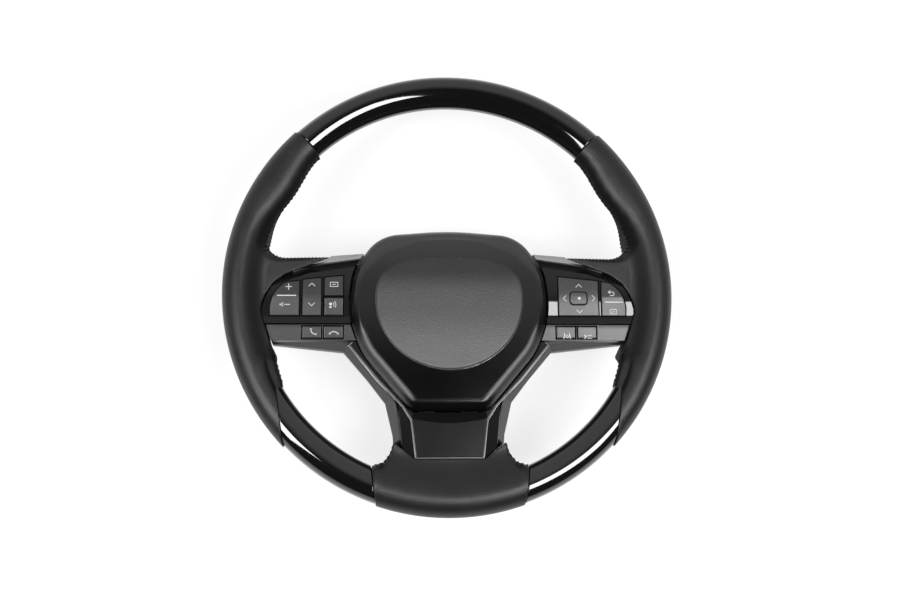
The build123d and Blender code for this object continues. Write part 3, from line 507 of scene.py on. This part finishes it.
def ripple_group():
    """The faintest ripple of a lacquer: soft noise, 160 waves to the metre."""
    group, given, result, make, join = effect("lacquer_ripple", {"Point": "Vector"}, {"Wave": "Float"})
    noise = make("TexNoise", {"Scale": 160.0})
    join((given, "Point", noise, "Vector"), (noise, "Fac", result, "Wave"))
    return group


lacquer_ripple = ripple_group()


def lacquer(name, colour, roughness, coat):
    """Deep gloss lacquer: an almost black base under a clear coat; the ripple stirs its colour, its
    roughness and its height."""
    material = bpy.data.materials.new(name)
    material.use_nodes = True
    make, join = wiring(material.node_tree)
    shader = material.node_tree.nodes["Principled BSDF"]
    shader.inputs["Coat Weight"].default_value = coat
    shader.inputs["Coat Roughness"].default_value = 0.02
    point = make("TexCoord")
    ripple = make("Group", node_tree=lacquer_ripple)
    bump = make("Bump", {"Strength": 0.25, "Distance": 0.00002})
    tint = make("Mix", {"A": (*colour, 1), "B": (*[c * 1.5 for c in colour], 1)}, data_type="RGBA")
    dull = make("MapRange", {"To Min": roughness * 0.8, "To Max": roughness * 1.3})
    join(
        (point, "Object", ripple, "Point"), (ripple, "Wave", tint, "Factor"),
        (tint, "Result", shader, "Base Color"), (ripple, "Wave", dull, "Value"),
        (dull, "Result", shader, "Roughness"), (ripple, "Wave", bump, "Height"),
        (bump, "Normal", shader, "Normal"),
    )
    return material


PIANO_BLACK = (0.0015, 0.0015, 0.0016), 0.06, 0.6
gloss_black = lacquer("piano_black", *PIANO_BLACK)


def half_shell(name, start, end, front, lines, section=TRIM_RADIUS):
    """Half of a round bar bent along the rim. The section is half a circle, its crest leaning outwards
    by a sine squared, closed by a flat back; each of its points runs from the angle of the start joint
    at its own radius to that of the end."""
    turn = np.linspace(0, np.pi, BOW_PLACES)
    lean = 1.0 if front else -1.0
    bow_r = TRIM_R + section * np.cos(turn) + CREST_LEAN * np.sin(turn) ** 2
    radius = np.r_[bow_r, TRIM_R + section * np.linspace(-0.97, 0.97, BACK_PLACES)]
    rise = np.r_[section * np.sin(turn), np.zeros(BACK_PLACES)] + HAIRLINE
    share = np.linspace(0, 1, lines)[:, None]
    angle = start(radius)[None] * (1 - share) + end(radius)[None] * share
    flat = at_angle(np.broadcast_to(radius, angle.shape), angle)
    points = np.dstack([flat, np.broadcast_to(RIM_Z + lean * rise, angle.shape)])
    first, last = [line.mean(1, keepdims=True).repeat(len(radius), 1) for line in (points[:1], points[-1:])]
    return surface(name, np.concatenate([first, points, last]))


def radial_joint(degrees, gap):
    """Angle at each radius of a joint that points at the column axis, moved along by a gap."""
    return lambda radius: degrees + np.degrees(gap / radius)


def straight_joint(near, far, gap):
    """Angle at each radius of a joint drawn straight between two plan points, moved along by a gap."""
    near, far = np.array(near), np.array(far)
    line = near + np.linspace(-0.3, 1.3, 200)[:, None] * (far - near)
    reach, angle = norm(line, axis=1), np.degrees(np.arctan2(line[:, 1], line[:, 0]))
    order = np.argsort(reach)
    return lambda radius: np.interp(radius, reach[order], angle[order]) + np.degrees(gap / radius)


lower_start = straight_joint((141.0, -83.5), (134.65, -130.5), -JOINT_GAP)
lower_end = straight_joint((63.1, -145.9), (59.5, -177.8), JOINT_GAP)
segments = [
    ("top_trim", radial_joint(46, JOINT_GAP), radial_joint(134, -JOINT_GAP), 260),
    ("right_trim", lower_start, lower_end, 110),
    ("left_trim", lambda radius: 180 - lower_start(radius), lambda radius: 180 - lower_end(radius), 110),
]
for segment, start, end, lines in segments:
    for half in ("front", "rear"):
        node = segment + "_" + half
        shell = half_shell(node + "_shell", start, end, half == "front", lines)
        fixed(shell, gloss_black)
        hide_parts(node)
        way_on = np.sign(end(TRIM_R) - start(TRIM_R)) * LINER_REACH
        liner = half_shell(
            node + "_liner",
            lambda radius: start(radius) - np.degrees(way_on / radius),
            lambda radius: end(radius) + np.degrees(way_on / radius),
            half == "front", lines // 2, TRIM_RADIUS - LINER_STEP,
        )
        fixed(liner, gloss_black)

# Rear tray. One dark moulded bowl closes the hub from behind and carries the backs of the spokes. It is
# screwed to the casting, and its sloped flanks show beside the switches and the lower spoke.
MERGE_DISTANCE, FLAT_ANGLE, SHARP_ANGLE = 2e-6, 0.02, 0.5


def softened(node, radius, finish):
    """The CAD solid of a node with its points merged, flat runs joined and sharp edges bevelled, as
    the mould leaves them."""
    mesh = nodes[node].data.copy()
    mesh.name = node + "_moulding"
    shape = bmesh.new()
    shape.from_mesh(mesh)
    bmesh.ops.remove_doubles(shape, verts=shape.verts, dist=MERGE_DISTANCE)
    bmesh.ops.dissolve_limit(shape, angle_limit=FLAT_ANGLE, verts=shape.verts, edges=shape.edges)
    shape.to_mesh(mesh)
    shape.free()
    piece = placed(node + "_moulding", mesh)
    mesh.materials.clear()
    mesh.materials.append(finish)
    mesh.shade_flat()
    bevel = piece.modifiers.new("softened_edges", "BEVEL")
    bevel.width = radius * MM
    bevel.segments = 3
    bevel.limit_method = "ANGLE"
    bevel.angle_limit = SHARP_ANGLE
    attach(piece, node_body[node])
    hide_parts(node)


cover_plastic = grained(
    "cover_plastic", (0.014, 0.014, 0.0145), (0.022, 0.022, 0.0225), 0.40, 1500, 0.6, 0.02
)
softened("rear_cover", 0.8, cover_plastic)

# Shoulders of the rear tray: beside the pad its upper edge comes forward as a slim satin strip that fills the
# space between the leather's tip and the slit over the gloss frame. Moulded with it. Its light grey is a
# painted reflection of the light from above.
SHOULDER_LOW_Z, SHOULDER_Z, SHOULDER_ROLL, SHOULDER_STEP = 60.0, 73.0, 0.4, 0.7
# The light grey of this strip is a painted reflection of the light from above on its face.
grey_painted_reflection = grained("grey_painted_reflection", (0.15, 0.15, 0.15), (0.19, 0.19, 0.19), 0.42, 2200, 0.6, 0.008)


def inward(line):
    """Unit normals of a clockwise closed line, towards its inside."""
    tangent = unit(np.roll(line, -1, 0) - np.roll(line, 1, 0))
    return np.stack([tangent[:, 1], -tangent[:, 0]], -1)


def strip_surface(corners):
    """A bar with the plan outline of a polygon read at even steps: wall, an edge rolled over by a
    small amount, and both ends closed to a point in the middle of the outline."""
    line = np.asarray(corners + corners[:1], float)
    way = lengths(line)
    even = np.linspace(0, way[-1], int(way[-1] / SHOULDER_STEP) + 1)[:-1]
    line = read_at(even, way, line)
    centre = np.broadcast_to(line.mean(0), line.shape)
    low, high, roll = SHOULDER_LOW_Z, SHOULDER_Z, SHOULDER_ROLL
    rows = [(centre, low), (line, low), (line, high - roll)]
    for turn in np.linspace(0, np.pi / 2, 5)[1:]:
        rows.append((line + roll * (1 - np.cos(turn)) * inward(line), high - roll * (1 - np.sin(turn))))
    rows.append((centre, high))
    return np.stack([raised(flat, z) for flat, z in rows])


strip_corners = [
    (71.0, 30.0), (86.0, 29.0), (98.2, 27.9), (99.2, 26.7), (130.0, 14.9), (118.0, 19.8), (73.8, 26.0)
]
strip = strip_surface(strip_corners)
for side, flip in (("right", 1.0), ("left", -1.0)):
    bar = surface(side + "_tray_shoulder", strip * (flip, 1.0, 1.0))
    fixed(bar, grey_painted_reflection)

# Gloss frames of the switches. One lacquered frame is clipped to the front of each side spoke. Its face
# is level at the top, slopes away below a ridge and is level again along its foot.
FRAME_RIDGE_Y, FRAME_FOOT_Y = -8.6, -22.4


def crown_group():
    """A face that is level above a ridge and slopes away below it. The drop is half the slope times
    the sum of the depth d below the ridge and the root of d squared plus the rounding squared."""
    takes = {"Point": "Vector", "Ridge": "Float", "Rounding": "Float", "Half Slope": "Float"}
    group, given, result, make, join = effect("ridge_and_slope", takes, {"Height": "Float"})
    part = make("SeparateXYZ")
    steps = ("SUBTRACT", "MULTIPLY", "MULTIPLY_ADD", "SQRT", "ADD", "MULTIPLY")
    below, square, reach, root, total, drop = [make("Math", operation=step) for step in steps]
    join(
        (given, "Point", part, "Vector"), (given, "Ridge", below, 0), (part, "Y", below, 1),
        (given, "Rounding", square, 0), (given, "Rounding", square, 1),
        (below, "Value", reach, 0), (below, "Value", reach, 1), (square, "Value", reach, 2),
        (reach, "Value", root, 0), (below, "Value", total, 0), (root, "Value", total, 1),
        (total, "Value", drop, 0), (given, "Half Slope", drop, 1), (drop, "Value", result, "Height"),
    )
    return group


ridge_and_slope = crown_group()


def crowned(material, ridge, rounding, slope):
    """Gives a material the faint crown of the switch faces, below the fine grain that it has."""
    tree = material.node_tree
    make, join = wiring(tree)
    face = {"Ridge": ridge * MM, "Rounding": rounding * MM, "Half Slope": -slope / 2}
    crown = make("Group", face, node_tree=ridge_and_slope)
    bend, grain = make("Bump", {"Distance": 1.0}), tree.nodes["Bump"]
    if grain.inputs["Normal"].is_linked:
        tree.links.new(grain.inputs["Normal"].links[0].from_socket, bend.inputs["Normal"])
    join((tree.nodes["Texture Coordinate"], "Object", crown, "Point"), (crown, "Height", bend, "Height"),
         (bend, "Normal", grain, "Normal"))
    return material


bezel_gloss = lacquer("bezel_black", *PIANO_BLACK)
crowned(bezel_gloss, FRAME_RIDGE_Y, 6.0, 0.20)
crowned(bezel_gloss, FRAME_FOOT_Y, 1.5, -0.20)
for node in ("left_bezel", "right_bezel"):
    softened(node, 0.5, bezel_gloss)

# Satin panels. A moulded strip under each frame closes the pod from below and holds two more keys. Its
# face has a faint crown that it shares with those keys.
ROW_CROWN = (-32.0, 3.0, 0.25)
panel_plastic = grained(
    "panel_plastic", (0.006, 0.006, 0.0062), (0.009, 0.009, 0.0092), 0.33, 2200, 0.7, 0.012
)
crowned(panel_plastic, *ROW_CROWN)
for node in ("left_lower_panel", "right_lower_panel"):
    softened(node, 0.4, panel_plastic)

# Switch keys. Satin moulded caps that sit on the key mats behind the frames and panels. The rockers,
# the four-way key and the row keys differ in the crown of their faces: its ridge, rounding and slope.
KEY_COLOURS = (0.012, 0.012, 0.0125), (0.017, 0.017, 0.0175)
key_finishes = [
    ("key_plastic", (-7.0, 6.0, 0.20), ("seek_rocker", "cursor_key", "ok_button")),
    ("rocker_plastic", (-6.6, 0.6, 0.17), ("volume_rocker", "back_rocker", "mode_button", "voice_button")),
    ("row_plastic", ROW_CROWN, ("call_button", "hangup_button", "lane_button", "distance_button")),
]
for name, face, key_nodes in key_finishes:
    finish = crowned(grained(name, *KEY_COLOURS, 0.34, 2400, 0.8, 0.010), *face)
    for node in key_nodes:
        softened(node, 0.35, finish)

# Signs on the keys. Thin lines of white paint, in plain shapes that any maker uses. Each rides on
# its own key. The key that bears a word on the real wheel has a plain sign of lines in its place.
KEY_Z, ROW_KEY_Z, OK_Z = 74.0, 71.5, 74.6
PAINT = 0.04
LINE = 0.45


def bow(x, y, radius, start, end):
    """Points on an arc about a centre, between two angles in degrees."""
    return (x, y) + at_angle(radius, np.linspace(start, end, 20))


def ribbon(line, width, z):
    """A flat bar of paint along a plan line: at each point the line is moved out to both sides along
    the mean normal of its neighbours, and the section is a low box, drawn to a point at both ends."""
    line = np.asarray(line, float)
    ahead = unit(np.diff(line, axis=0))
    mean = unit(np.concatenate([ahead[:1], ahead[:-1] + ahead[1:], ahead[-1:]]))
    stretch = 1 / np.clip((mean * np.concatenate([ahead[:1], ahead])).sum(1), 0.4, 1)
    out = np.stack([-mean[:, 1], mean[:, 0]], -1) * (width / 2 * stretch)[:, None]
    left, right = line + out, line - out
    sides = ((left, z - PAINT), (left, z + PAINT), (right, z + PAINT), (right, z - PAINT))
    box = np.stack([raised(flat, level) for flat, level in sides], 1)
    first, last = [end.mean(1, keepdims=True).repeat(4, 1) for end in (box[:1], box[-1:])]
    return np.concatenate([first, box, last])


def painted(node, z, lines):
    """All the lines of one key's sign, each with its width, as one piece that rides on the key."""
    points, quads, start = [], [], 0
    for line, width in lines:
        bar = ribbon(line, width, z).reshape(-1, 3)
        points.append(bar)
        quads.append(quads_of(start + np.arange(len(bar)).reshape(-1, 4)))
        start += len(bar)
    sign = cleaned(node + "_sign", np.concatenate(points), np.concatenate(quads))
    sign.data.shade_flat()
    sign.data.materials.append(white_paint)
    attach(sign, node_body[node])


def chevron(x, y, way_x, way_y, reach=2.6):
    """An open arrow head whose tip points along a unit direction."""
    tip, side = np.array([way_x, way_y]) * reach * 0.5, np.array([-way_y, way_x]) * reach
    return np.array([x, y]) + np.array([side - tip, tip, -side - tip])


white_paint = grained("white_paint", (0.42, 0.42, 0.415), (0.50, 0.50, 0.495), 0.5, 2600, 0.6, 0.004)
plus = [([(-135.3, 1.6), (-130.1, 1.6)], 0.6), ([(-132.7, -1.0), (-132.7, 4.2)], 0.6)]
cone = [(-138.9, -13.4), (-137.3, -11.8), (-137.3, -15.0), (-138.9, -13.4)]
speaker = [([(-139.9, -13.4), (-139.0, -13.4)], 1.3), (cone, 0.4)]
bars = [([(-136.0, -13.4), (-131.4, -13.4)], 0.6), ([(-142.2, -5.8), (-126.4, -5.8)], 0.8)]
painted("volume_rocker", KEY_Z, plus + speaker + bars)
seek_arrows = [(chevron(-113.6, 3.3, 0, 1), LINE), (chevron(-113.7, -13.2, 0, -1), LINE)]
painted("seek_rocker", KEY_Z, seek_arrows)
frame_sign = [(-98.4, 5.4), (-92.2, 5.4), (-92.2, 1.8), (-98.4, 1.8), (-98.4, 5.4)]
painted("mode_button", KEY_Z, [(frame_sign, LINE), ([(-96.8, 3.6), (-93.8, 3.6)], LINE)])
head = [(bow(-98.0, -13.0, 0.6, 0, 360), 1.2), ([(-98.9, -15.6), (-97.2, -15.6)], 1.3)]
waves = [(bow(-97.6, -13.6, 2.4, -35, 50), LINE), (bow(-97.6, -13.6, 4.0, -35, 50), LINE)]
painted("voice_button", KEY_Z, head + waves)


def handset(x, y, radius, middle):
    """A telephone handset: a bow about a centre, with a wider piece at each of its ends."""
    ends = [(bow(x, y, radius, middle + turn - 11, middle + turn + 11), 1.4) for turn in (-52, 52)]
    return [(bow(x, y, radius, middle - 56, middle + 56), 0.7)] + ends


painted("call_button", ROW_KEY_Z, handset(-110.4, -34.2, 3.6, 225))
painted("hangup_button", ROW_KEY_Z, handset(-95.2, -39.8, 4.1, 90))
arrows = [(chevron(108.9, 3.0, 0, 1), LINE), (chevron(109.2, -18.7, 0, -1), LINE)]
arrows += [(chevron(97.0, -7.7, -1, 0), LINE), (chevron(121.1, -7.5, 1, 0), LINE)]
painted("cursor_key", KEY_Z, arrows)
painted("ok_button", OK_Z, [(bow(109.1, -7.7, 0.6, 0, 360), 1.2)])
hook = np.concatenate([[(134.2, -2.2)], bow(137.2, -3.7, 1.5, 90, -90), [(135.0, -5.2)]])
barb = [(135.6, -0.8), (133.8, -2.2), (135.6, -3.6)]
back_signs = [(hook, 0.55), (barb, 0.55), ([(130.5, -10.7), (145.6, -10.8)], 0.8)]
screen = [(135.0, -17.0), (140.0, -17.0), (140.0, -20.8), (135.0, -20.8), (135.0, -17.0)]
painted("back_rocker", KEY_Z, back_signs + [(screen, LINE), ([(136.2, -19.6), (138.8, -18.2)], LINE)])
lane_lines = [([(95.6, -41.6), (96.4, -36.8)], 0.7), ([(101.2, -41.6), (100.4, -36.8)], 0.7)]
painted("lane_button", ROW_KEY_Z, lane_lines + [(bow(98.4, -39.6, 1.1, 0, 360), 0.5)])
gap_lines = [([(115.4, -38.6), (119.2, -38.6)], 0.5), ([(115.4, -41.0), (119.2, -41.0)], 0.5)]
painted("distance_button", ROW_KEY_Z, gap_lines + [(chevron(113.6, -39.8, 1, 0, 1.6), 0.8)])

# Lower spoke. A satin insert between two gloss cheeks, framed by a thin bright line, is clipped to the front
# of the tray. Under the pad a thin near-black sheet with a curved lower edge lies on the top of the insert:
# painted shade beneath the pad.
SHADE_SHEET_PLACES, SHADE_SHEET_HALF_WIDTH = 61, 30.6
SHADE_SHEET_TOP_Y, SHADE_SHEET_LOW_Y, SHADE_SHEET_BOW = -102.4, -111.0, 3.6
SHADE_SHEET_BACK_Z, SHADE_SHEET_FRONT_Z = 69.3, 69.6
softened("lower_spoke_bezel", 0.5, gloss_black)
satin_insert = grained(
    "satin_insert", (0.004, 0.004, 0.0041), (0.006, 0.006, 0.0061), 0.17, 2200, 0.7, 0.004, rough_spread=0.02
)
softened("lower_spoke_insert", 0.4, satin_insert)
# A thin near-black sheet over the top of the insert, curved along its lower edge: painted shade beneath the
# pad.
across = np.linspace(-SHADE_SHEET_HALF_WIDTH, SHADE_SHEET_HALF_WIDTH, SHADE_SHEET_PLACES)
top_edge = np.column_stack([across, np.full(SHADE_SHEET_PLACES, SHADE_SHEET_TOP_Y)])
low_edge = np.column_stack([across, SHADE_SHEET_LOW_Y + SHADE_SHEET_BOW * (across / 30.0) ** 2])
shade_sheet_line = np.concatenate([top_edge, low_edge[::-1]])
shade_sheet_middle = np.broadcast_to([0.0, -105.5], shade_sheet_line.shape)
shade_sheet_rows = [(shade_sheet_middle, SHADE_SHEET_BACK_Z), (shade_sheet_line, SHADE_SHEET_BACK_Z),
               (shade_sheet_line, SHADE_SHEET_FRONT_Z), (shade_sheet_middle, SHADE_SHEET_FRONT_Z)]
shade_sheet = surface("lower_spoke_painted_shade", np.stack([raised(flat, z) for flat, z in shade_sheet_rows]))
shade_sheet.data.shade_flat()
shade = grained("painted_shade_black", (0.0008,) * 3, (0.0014,) * 3, 0.6, 1500, 0.5, 0.01, 0.04)
fixed(shade_sheet, shade)
bright_line = grained(
    "satin_bright_line", (0.16, 0.16, 0.163), (0.20, 0.20, 0.203), 0.30, 2400, 0.5, 0.004, metallic=1.0
)
softened("lower_spoke_strip", 0.15, bright_line)

# Airbag pad. A soft moulded skin with a broad rolled shoulder, an almost flat ring and a slightly raised
# field whose rim fades out at the top. It is grained and coarser on the field, and a paler, glossier band
# along its edge, at the top and on the two lower slants, is a painted highlight. The pad goes in last of all
# and moves on the horn's pins.
PAD_BACK_Z, PAD_WALL_Z = 55.5, 71.0
PAD_CROWN_Z, PAD_DOME_R = 82.0, 1500.0
PAD_CENTRE = np.array([0.0, -22.0])
SHOULDER_WIDTH, CORNER_WIDTH, SHOULDER_POWER = 8.0, 7.0, 1.15
FIELD_STEP, FIELD_RIM, FIELD_FADE = 1.0, 1.5, 0.85
FIELD_HALF_WIDTH, FIELD_LOW, FIELD_RISE = 61.0, 58.6, 36.0
FIELD_WIDE_Y, FIELD_POWER = -10.0, 2.8
LIT_BAND_GLOSS = 0.85
PAD_PLACES = 420


def rounded_outline(half, radii, count):
    """Closed outline from its right-hand half: each corner gives way to an arc tangent to both its
    sides, and the whole is read again at even steps."""
    mirror_half = [((-x, y), r) for (x, y), r in zip(half, radii) if x > 0]
    corner = np.array(half + [p for p, r in reversed(mirror_half)], float)
    radius = np.array(radii + [r for p, r in reversed(mirror_half)], float)
    before, after = unit(np.roll(corner, 1, 0) - corner), unit(np.roll(corner, -1, 0) - corner)
    half_angle = np.arccos(np.clip((before * after).sum(1), -1, 1)) / 2
    centre = corner + unit(before + after) * (radius / np.sin(half_angle))[:, None]
    reach = (radius / np.tan(half_angle))[:, None]
    a0 = corner + before * reach - centre
    a1 = corner + after * reach - centre
    start = np.arctan2(a0[:, 1], a0[:, 0])
    sweep = np.arctan2(a0[:, 0] * a1[:, 1] - a0[:, 1] * a1[:, 0], (a0 * a1).sum(1))
    turn = start[:, None] + sweep[:, None] * np.linspace(0, 1, 40)
    arcs = centre[:, None] + radius[:, None, None] * np.stack([np.cos(turn), np.sin(turn)], -1)
    line = arcs.reshape(-1, 2)
    line = np.concatenate([line, line[:1]])
    way = lengths(line)
    return read_at(np.linspace(0, way[-1], count + 1)[:-1], way, line)


def dome(flat):
    """Height of the shallow ball that the front of the pad follows."""
    away = ((flat - PAD_CENTRE) ** 2).sum(-1)
    return PAD_CROWN_Z - PAD_DOME_R + np.sqrt(PAD_DOME_R**2 - away)


pad_line = rounded_outline(
    [(0, 50.4), (58, 45.8), (79.5, 17), (83.5, -22), (72, -53), (31, -101.5)],
    [260, 34, 50, 70, 60, 14], PAD_PLACES,
)


def field_outline(count):
    """Outline of the field: half an ellipse below its widest line, and above it half a curve whose
    two shares are taken to the power 2.8 instead of 2, so that its corners are fuller."""
    turn = np.linspace(0, -2 * np.pi, count + 1)[:-1]
    power = np.where(np.sin(turn) > 0, 2 / FIELD_POWER, 1.0)
    rise = np.where(np.sin(turn) > 0, FIELD_RISE, FIELD_LOW)
    x = FIELD_HALF_WIDTH * np.sign(np.cos(turn)) * np.abs(np.cos(turn)) ** power
    return np.stack([x, FIELD_WIDE_Y + rise * np.sign(np.sin(turn)) * np.abs(np.sin(turn)) ** power], -1)


field_line = field_outline(900)


def field_on(line):
    """The point of the field's outline in the same direction from the middle of the pad."""
    from_field = field_line - PAD_CENTRE
    angle = np.arctan2(from_field[:, 1], from_field[:, 0])
    order = np.argsort(angle)
    away = norm(from_field, axis=1)[order]
    wanted = np.arctan2(*(line - PAD_CENTRE).T[::-1])
    found = np.interp(wanted, angle[order], away, period=2 * np.pi)
    return PAD_CENTRE + found[:, None] * np.stack([np.cos(wanted), np.sin(wanted)], -1)


def pad_surface():
    """Lines round the pad from its back edge inwards: a straight wall, a shoulder between a bevel and
    a quarter ellipse, wider at the upper corners, the dome out to the field's edge, a small step there,
    and the dome again up to the middle."""
    upper = smooth(pad_line[:, 1], 5, 40) * smooth(np.abs(pad_line[:, 0]), 15, 50)
    shoulder = (SHOULDER_WIDTH + CORNER_WIDTH * upper)[:, None] * inward(pad_line)
    inner = pad_line + shoulder
    field = field_on(inner)
    keep = 1 - FIELD_FADE * smooth(field[:, 1], -8, 24)
    back = np.broadcast_to([0.0, -25.0], pad_line.shape)
    rows = [raised(back, PAD_BACK_Z)]
    for z in (PAD_BACK_Z, PAD_BACK_Z + 0.01, PAD_BACK_Z + 5, PAD_WALL_Z - 3):
        rows.append(raised(pad_line, z))
    for turn in np.linspace(0, np.pi / 2, 22):
        flat = pad_line + (1 - np.cos(turn) ** SHOULDER_POWER) * shoulder
        rise = (dome(inner) - PAD_WALL_Z) * np.sin(turn) ** SHOULDER_POWER
        rows.append(raised(flat, PAD_WALL_Z + rise))
    for share in np.linspace(0, 1, 26)[1:]:
        flat = inner + share * (field - inner)
        rows.append(raised(flat, dome(flat)))
    for share in np.linspace(0, 1, 9)[1:]:
        flat = field + FIELD_RIM * share * unit(PAD_CENTRE - field)
        rows.append(raised(flat, dome(flat) + FIELD_STEP * keep * smooth(share, 0, 1)))
    edge = field + FIELD_RIM * unit(PAD_CENTRE - field)
    for share in np.linspace(0, 1, 30)[1:]:
        flat = edge + share * (PAD_CENTRE - edge)
        hold = keep + (1 - keep) * smooth(share, 0, 0.75)
        rows.append(raised(flat, dome(flat) + FIELD_STEP * hold))
    return np.stack(rows)


def on_field(points):
    """True for the points of the pad that lie inside the outline of the field, on its front."""
    edge_away = norm(field_on(points[:, :2]) - PAD_CENTRE, axis=1)
    return (norm(points[:, :2] - PAD_CENTRE, axis=1) < edge_away) & (points[:, 2] > PAD_WALL_Z)


def pad_skins(points):
    """Share of the second skin and the gloss at points of the pad. The second skin is a painted highlight: a
    paler, glossier band along the outline, at the top and on the two lower slants. The ring's gloss falls
    from top to bottom, the field's rises."""
    y = points[:, 1]
    flat, outline = points[:, None, :2].astype(np.float32), pad_line[None].astype(np.float32)
    edge = smooth(1.3 - norm(flat - outline, axis=2).min(1) / SHOULDER_WIDTH, 0, 0.4)
    lit_band = edge * (smooth(y, 12, 32) + smooth(-y, 26, 46) * (1 - smooth(-y, 84, 98)))
    ring = 0.7 + 0.35 * smooth(y, 0, 40) - 0.6 * smooth(-y, 10, 80)
    field = 0.7 - 0.5 * smooth(y, -6, 16) + 0.3 * smooth(-y, 16, 50)
    gloss = np.where(on_field(points), field, ring)
    return lit_band, gloss + lit_band * (LIT_BAND_GLOSS - gloss)


pad = surface("pad", pad_surface())
ring_skin = grained("pad_ring_skin", (0.0018, 0.0018, 0.0019), (0.003, 0.003, 0.0031), 0.16, 1300, 0.5, 0.004,
                    rough_spread=0.02)
field_skin = grained("pad_field_skin", (0.014, 0.0138, 0.0135), (0.022, 0.0217, 0.021), 0.52, 560, 0.9, 0.09)
# The pad's second skin is a painted highlight: a paler band with sheen and more gloss along its edge.
for skin in (ring_skin, field_skin):
    two_skinned(skin, (0.008, 0.008, 0.0081), 0.50, 0.35)
    pad.data.materials.append(skin)
in_field = on_field(read(pad.data.polygons, "center") / MM)
pad.data.polygons.foreach_set("material_index", in_field.astype(np.int32))
set_skins(pad, *pad_skins(read(pad.data.vertices, "co") / MM))
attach(pad, "horn_pad")
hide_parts("airbag_cover")

# Floor and light. A white floor under plain studio light: two soft boxes, to the left and right of
# the camera, draw the streaks on the gloss rim, and a pale wall beyond the wheel fills the rest.
FLOOR_Z, FLOOR_HALF = -0.0162, 9.0
floor_mesh = bpy.data.meshes.new("floor")
floor_corners = [(x * FLOOR_HALF, y * FLOOR_HALF, FLOOR_Z) for x, y in ((-1, -1), (1, -1), (1, 1), (-1, 1))]
floor_mesh.from_pydata(floor_corners, [], [(0, 1, 2, 3)])
floor = placed("floor", floor_mesh)
white_floor = bpy.data.materials.new("white_floor")
white_floor.use_nodes = True
make, join = wiring(white_floor.node_tree)
matt = make("BsdfDiffuse", {"Color": (0.86, 0.86, 0.86, 1)})
glow, mixed, ray = make("Emission", {"Color": (1, 1, 1, 1)}), make("MixShader"), make("LightPath")
seen, share = make("Math", operation="MAXIMUM"), make("Math", {1: 0.74}, operation="MULTIPLY")
join(
    (ray, "Is Camera Ray", seen, 0), (ray, "Is Glossy Ray", seen, 1), (seen, "Value", share, 0),
    (share, "Value", mixed, "Fac"), (matt, "BSDF", mixed, 1), (glow, "Emission", mixed, 2),
    (mixed, "Shader", white_floor.node_tree.nodes["Material Output"], "Surface"),
)
floor_mesh.materials.append(white_floor)

world = bpy.data.worlds.new("studio")
bpy.context.scene.world = world
world.use_nodes = True
make, join = wiring(world.node_tree)
ray, way_in, part = make("LightPath"), make("TexCoord"), make("SeparateXYZ")
levels = {"From Min": -0.05, "From Max": 0.45, "To Min": 0.06, "To Max": 0.7}
ramp = make("MapRange", levels, interpolation_type="SMOOTHSTEP")
tint = make("Mix", {"B": (1, 1, 1, 1)}, data_type="RGBA")
join(
    (way_in, "Generated", part, "Vector"), (part, "Y", ramp, "Value"), (ramp, "Result", tint, "A"),
    (ray, "Is Camera Ray", tint, "Factor"), (tint, "Result", world.node_tree.nodes["Background"], "Color"),
)


def aimed(item, place, back, turned):
    """Sets an object at a place in metres with its back along a unit direction, and turns it from
    upright in its own plane by some degrees."""
    side = unit(np.cross((0.0, 1.0, 0.0), back))
    up = np.cross(back, side)
    over = np.radians(turned)
    turn = np.eye(4)
    turn[:3, 0] = side * np.cos(over) + up * np.sin(over)
    turn[:3, 1] = up * np.cos(over) - side * np.sin(over)
    turn[:3, 2], turn[:3, 3] = back, place
    item.matrix_world = Matrix(turn.tolist())


def softbox(name, place, width, height, power, turned=0.0):
    """A flat rectangular lamp that faces straight down on the floor."""
    lamp = bpy.data.lights.new(name, "AREA")
    lamp.shape = "RECTANGLE"
    lamp.size, lamp.size_y = width, height
    lamp.energy = power
    aimed(placed(name, lamp), place, (0.0, 0.0, 1.0), turned)


softbox("left_light", (-1.07, -0.51, 1.5), 1.3, 0.5, 34, 35)
softbox("right_light", (0.67, -0.42, 1.5), 0.88, 0.65, 29)

# Camera. It stands in front of the wheel and a little below its middle, as the photograph was taken, with
# the lens and the shift that were fitted to the outline of the wheel.
CAMERA_AIM, CAMERA_AWAY, CAMERA_ROLL = np.array([0.0, 0.0, 0.072]), 1.0, -0.45
camera_data = bpy.data.cameras.new("camera")
camera_data.sensor_width = 36.0
camera_data.lens = 46.894
camera_data.shift_x, camera_data.shift_y = 0.0122, -0.0185
camera_data.clip_end = 60
camera = placed("camera", camera_data)
yaw, pitch = np.radians([-3.17, -11.6])
back_way = np.array([np.sin(yaw) * np.cos(pitch), np.sin(pitch), np.cos(yaw) * np.cos(pitch)])
aimed(camera, CAMERA_AIM + CAMERA_AWAY * back_way, back_way, CAMERA_ROLL)
bpy.context.scene.camera = camera
bpy.context.scene.view_settings.view_transform = "Standard"
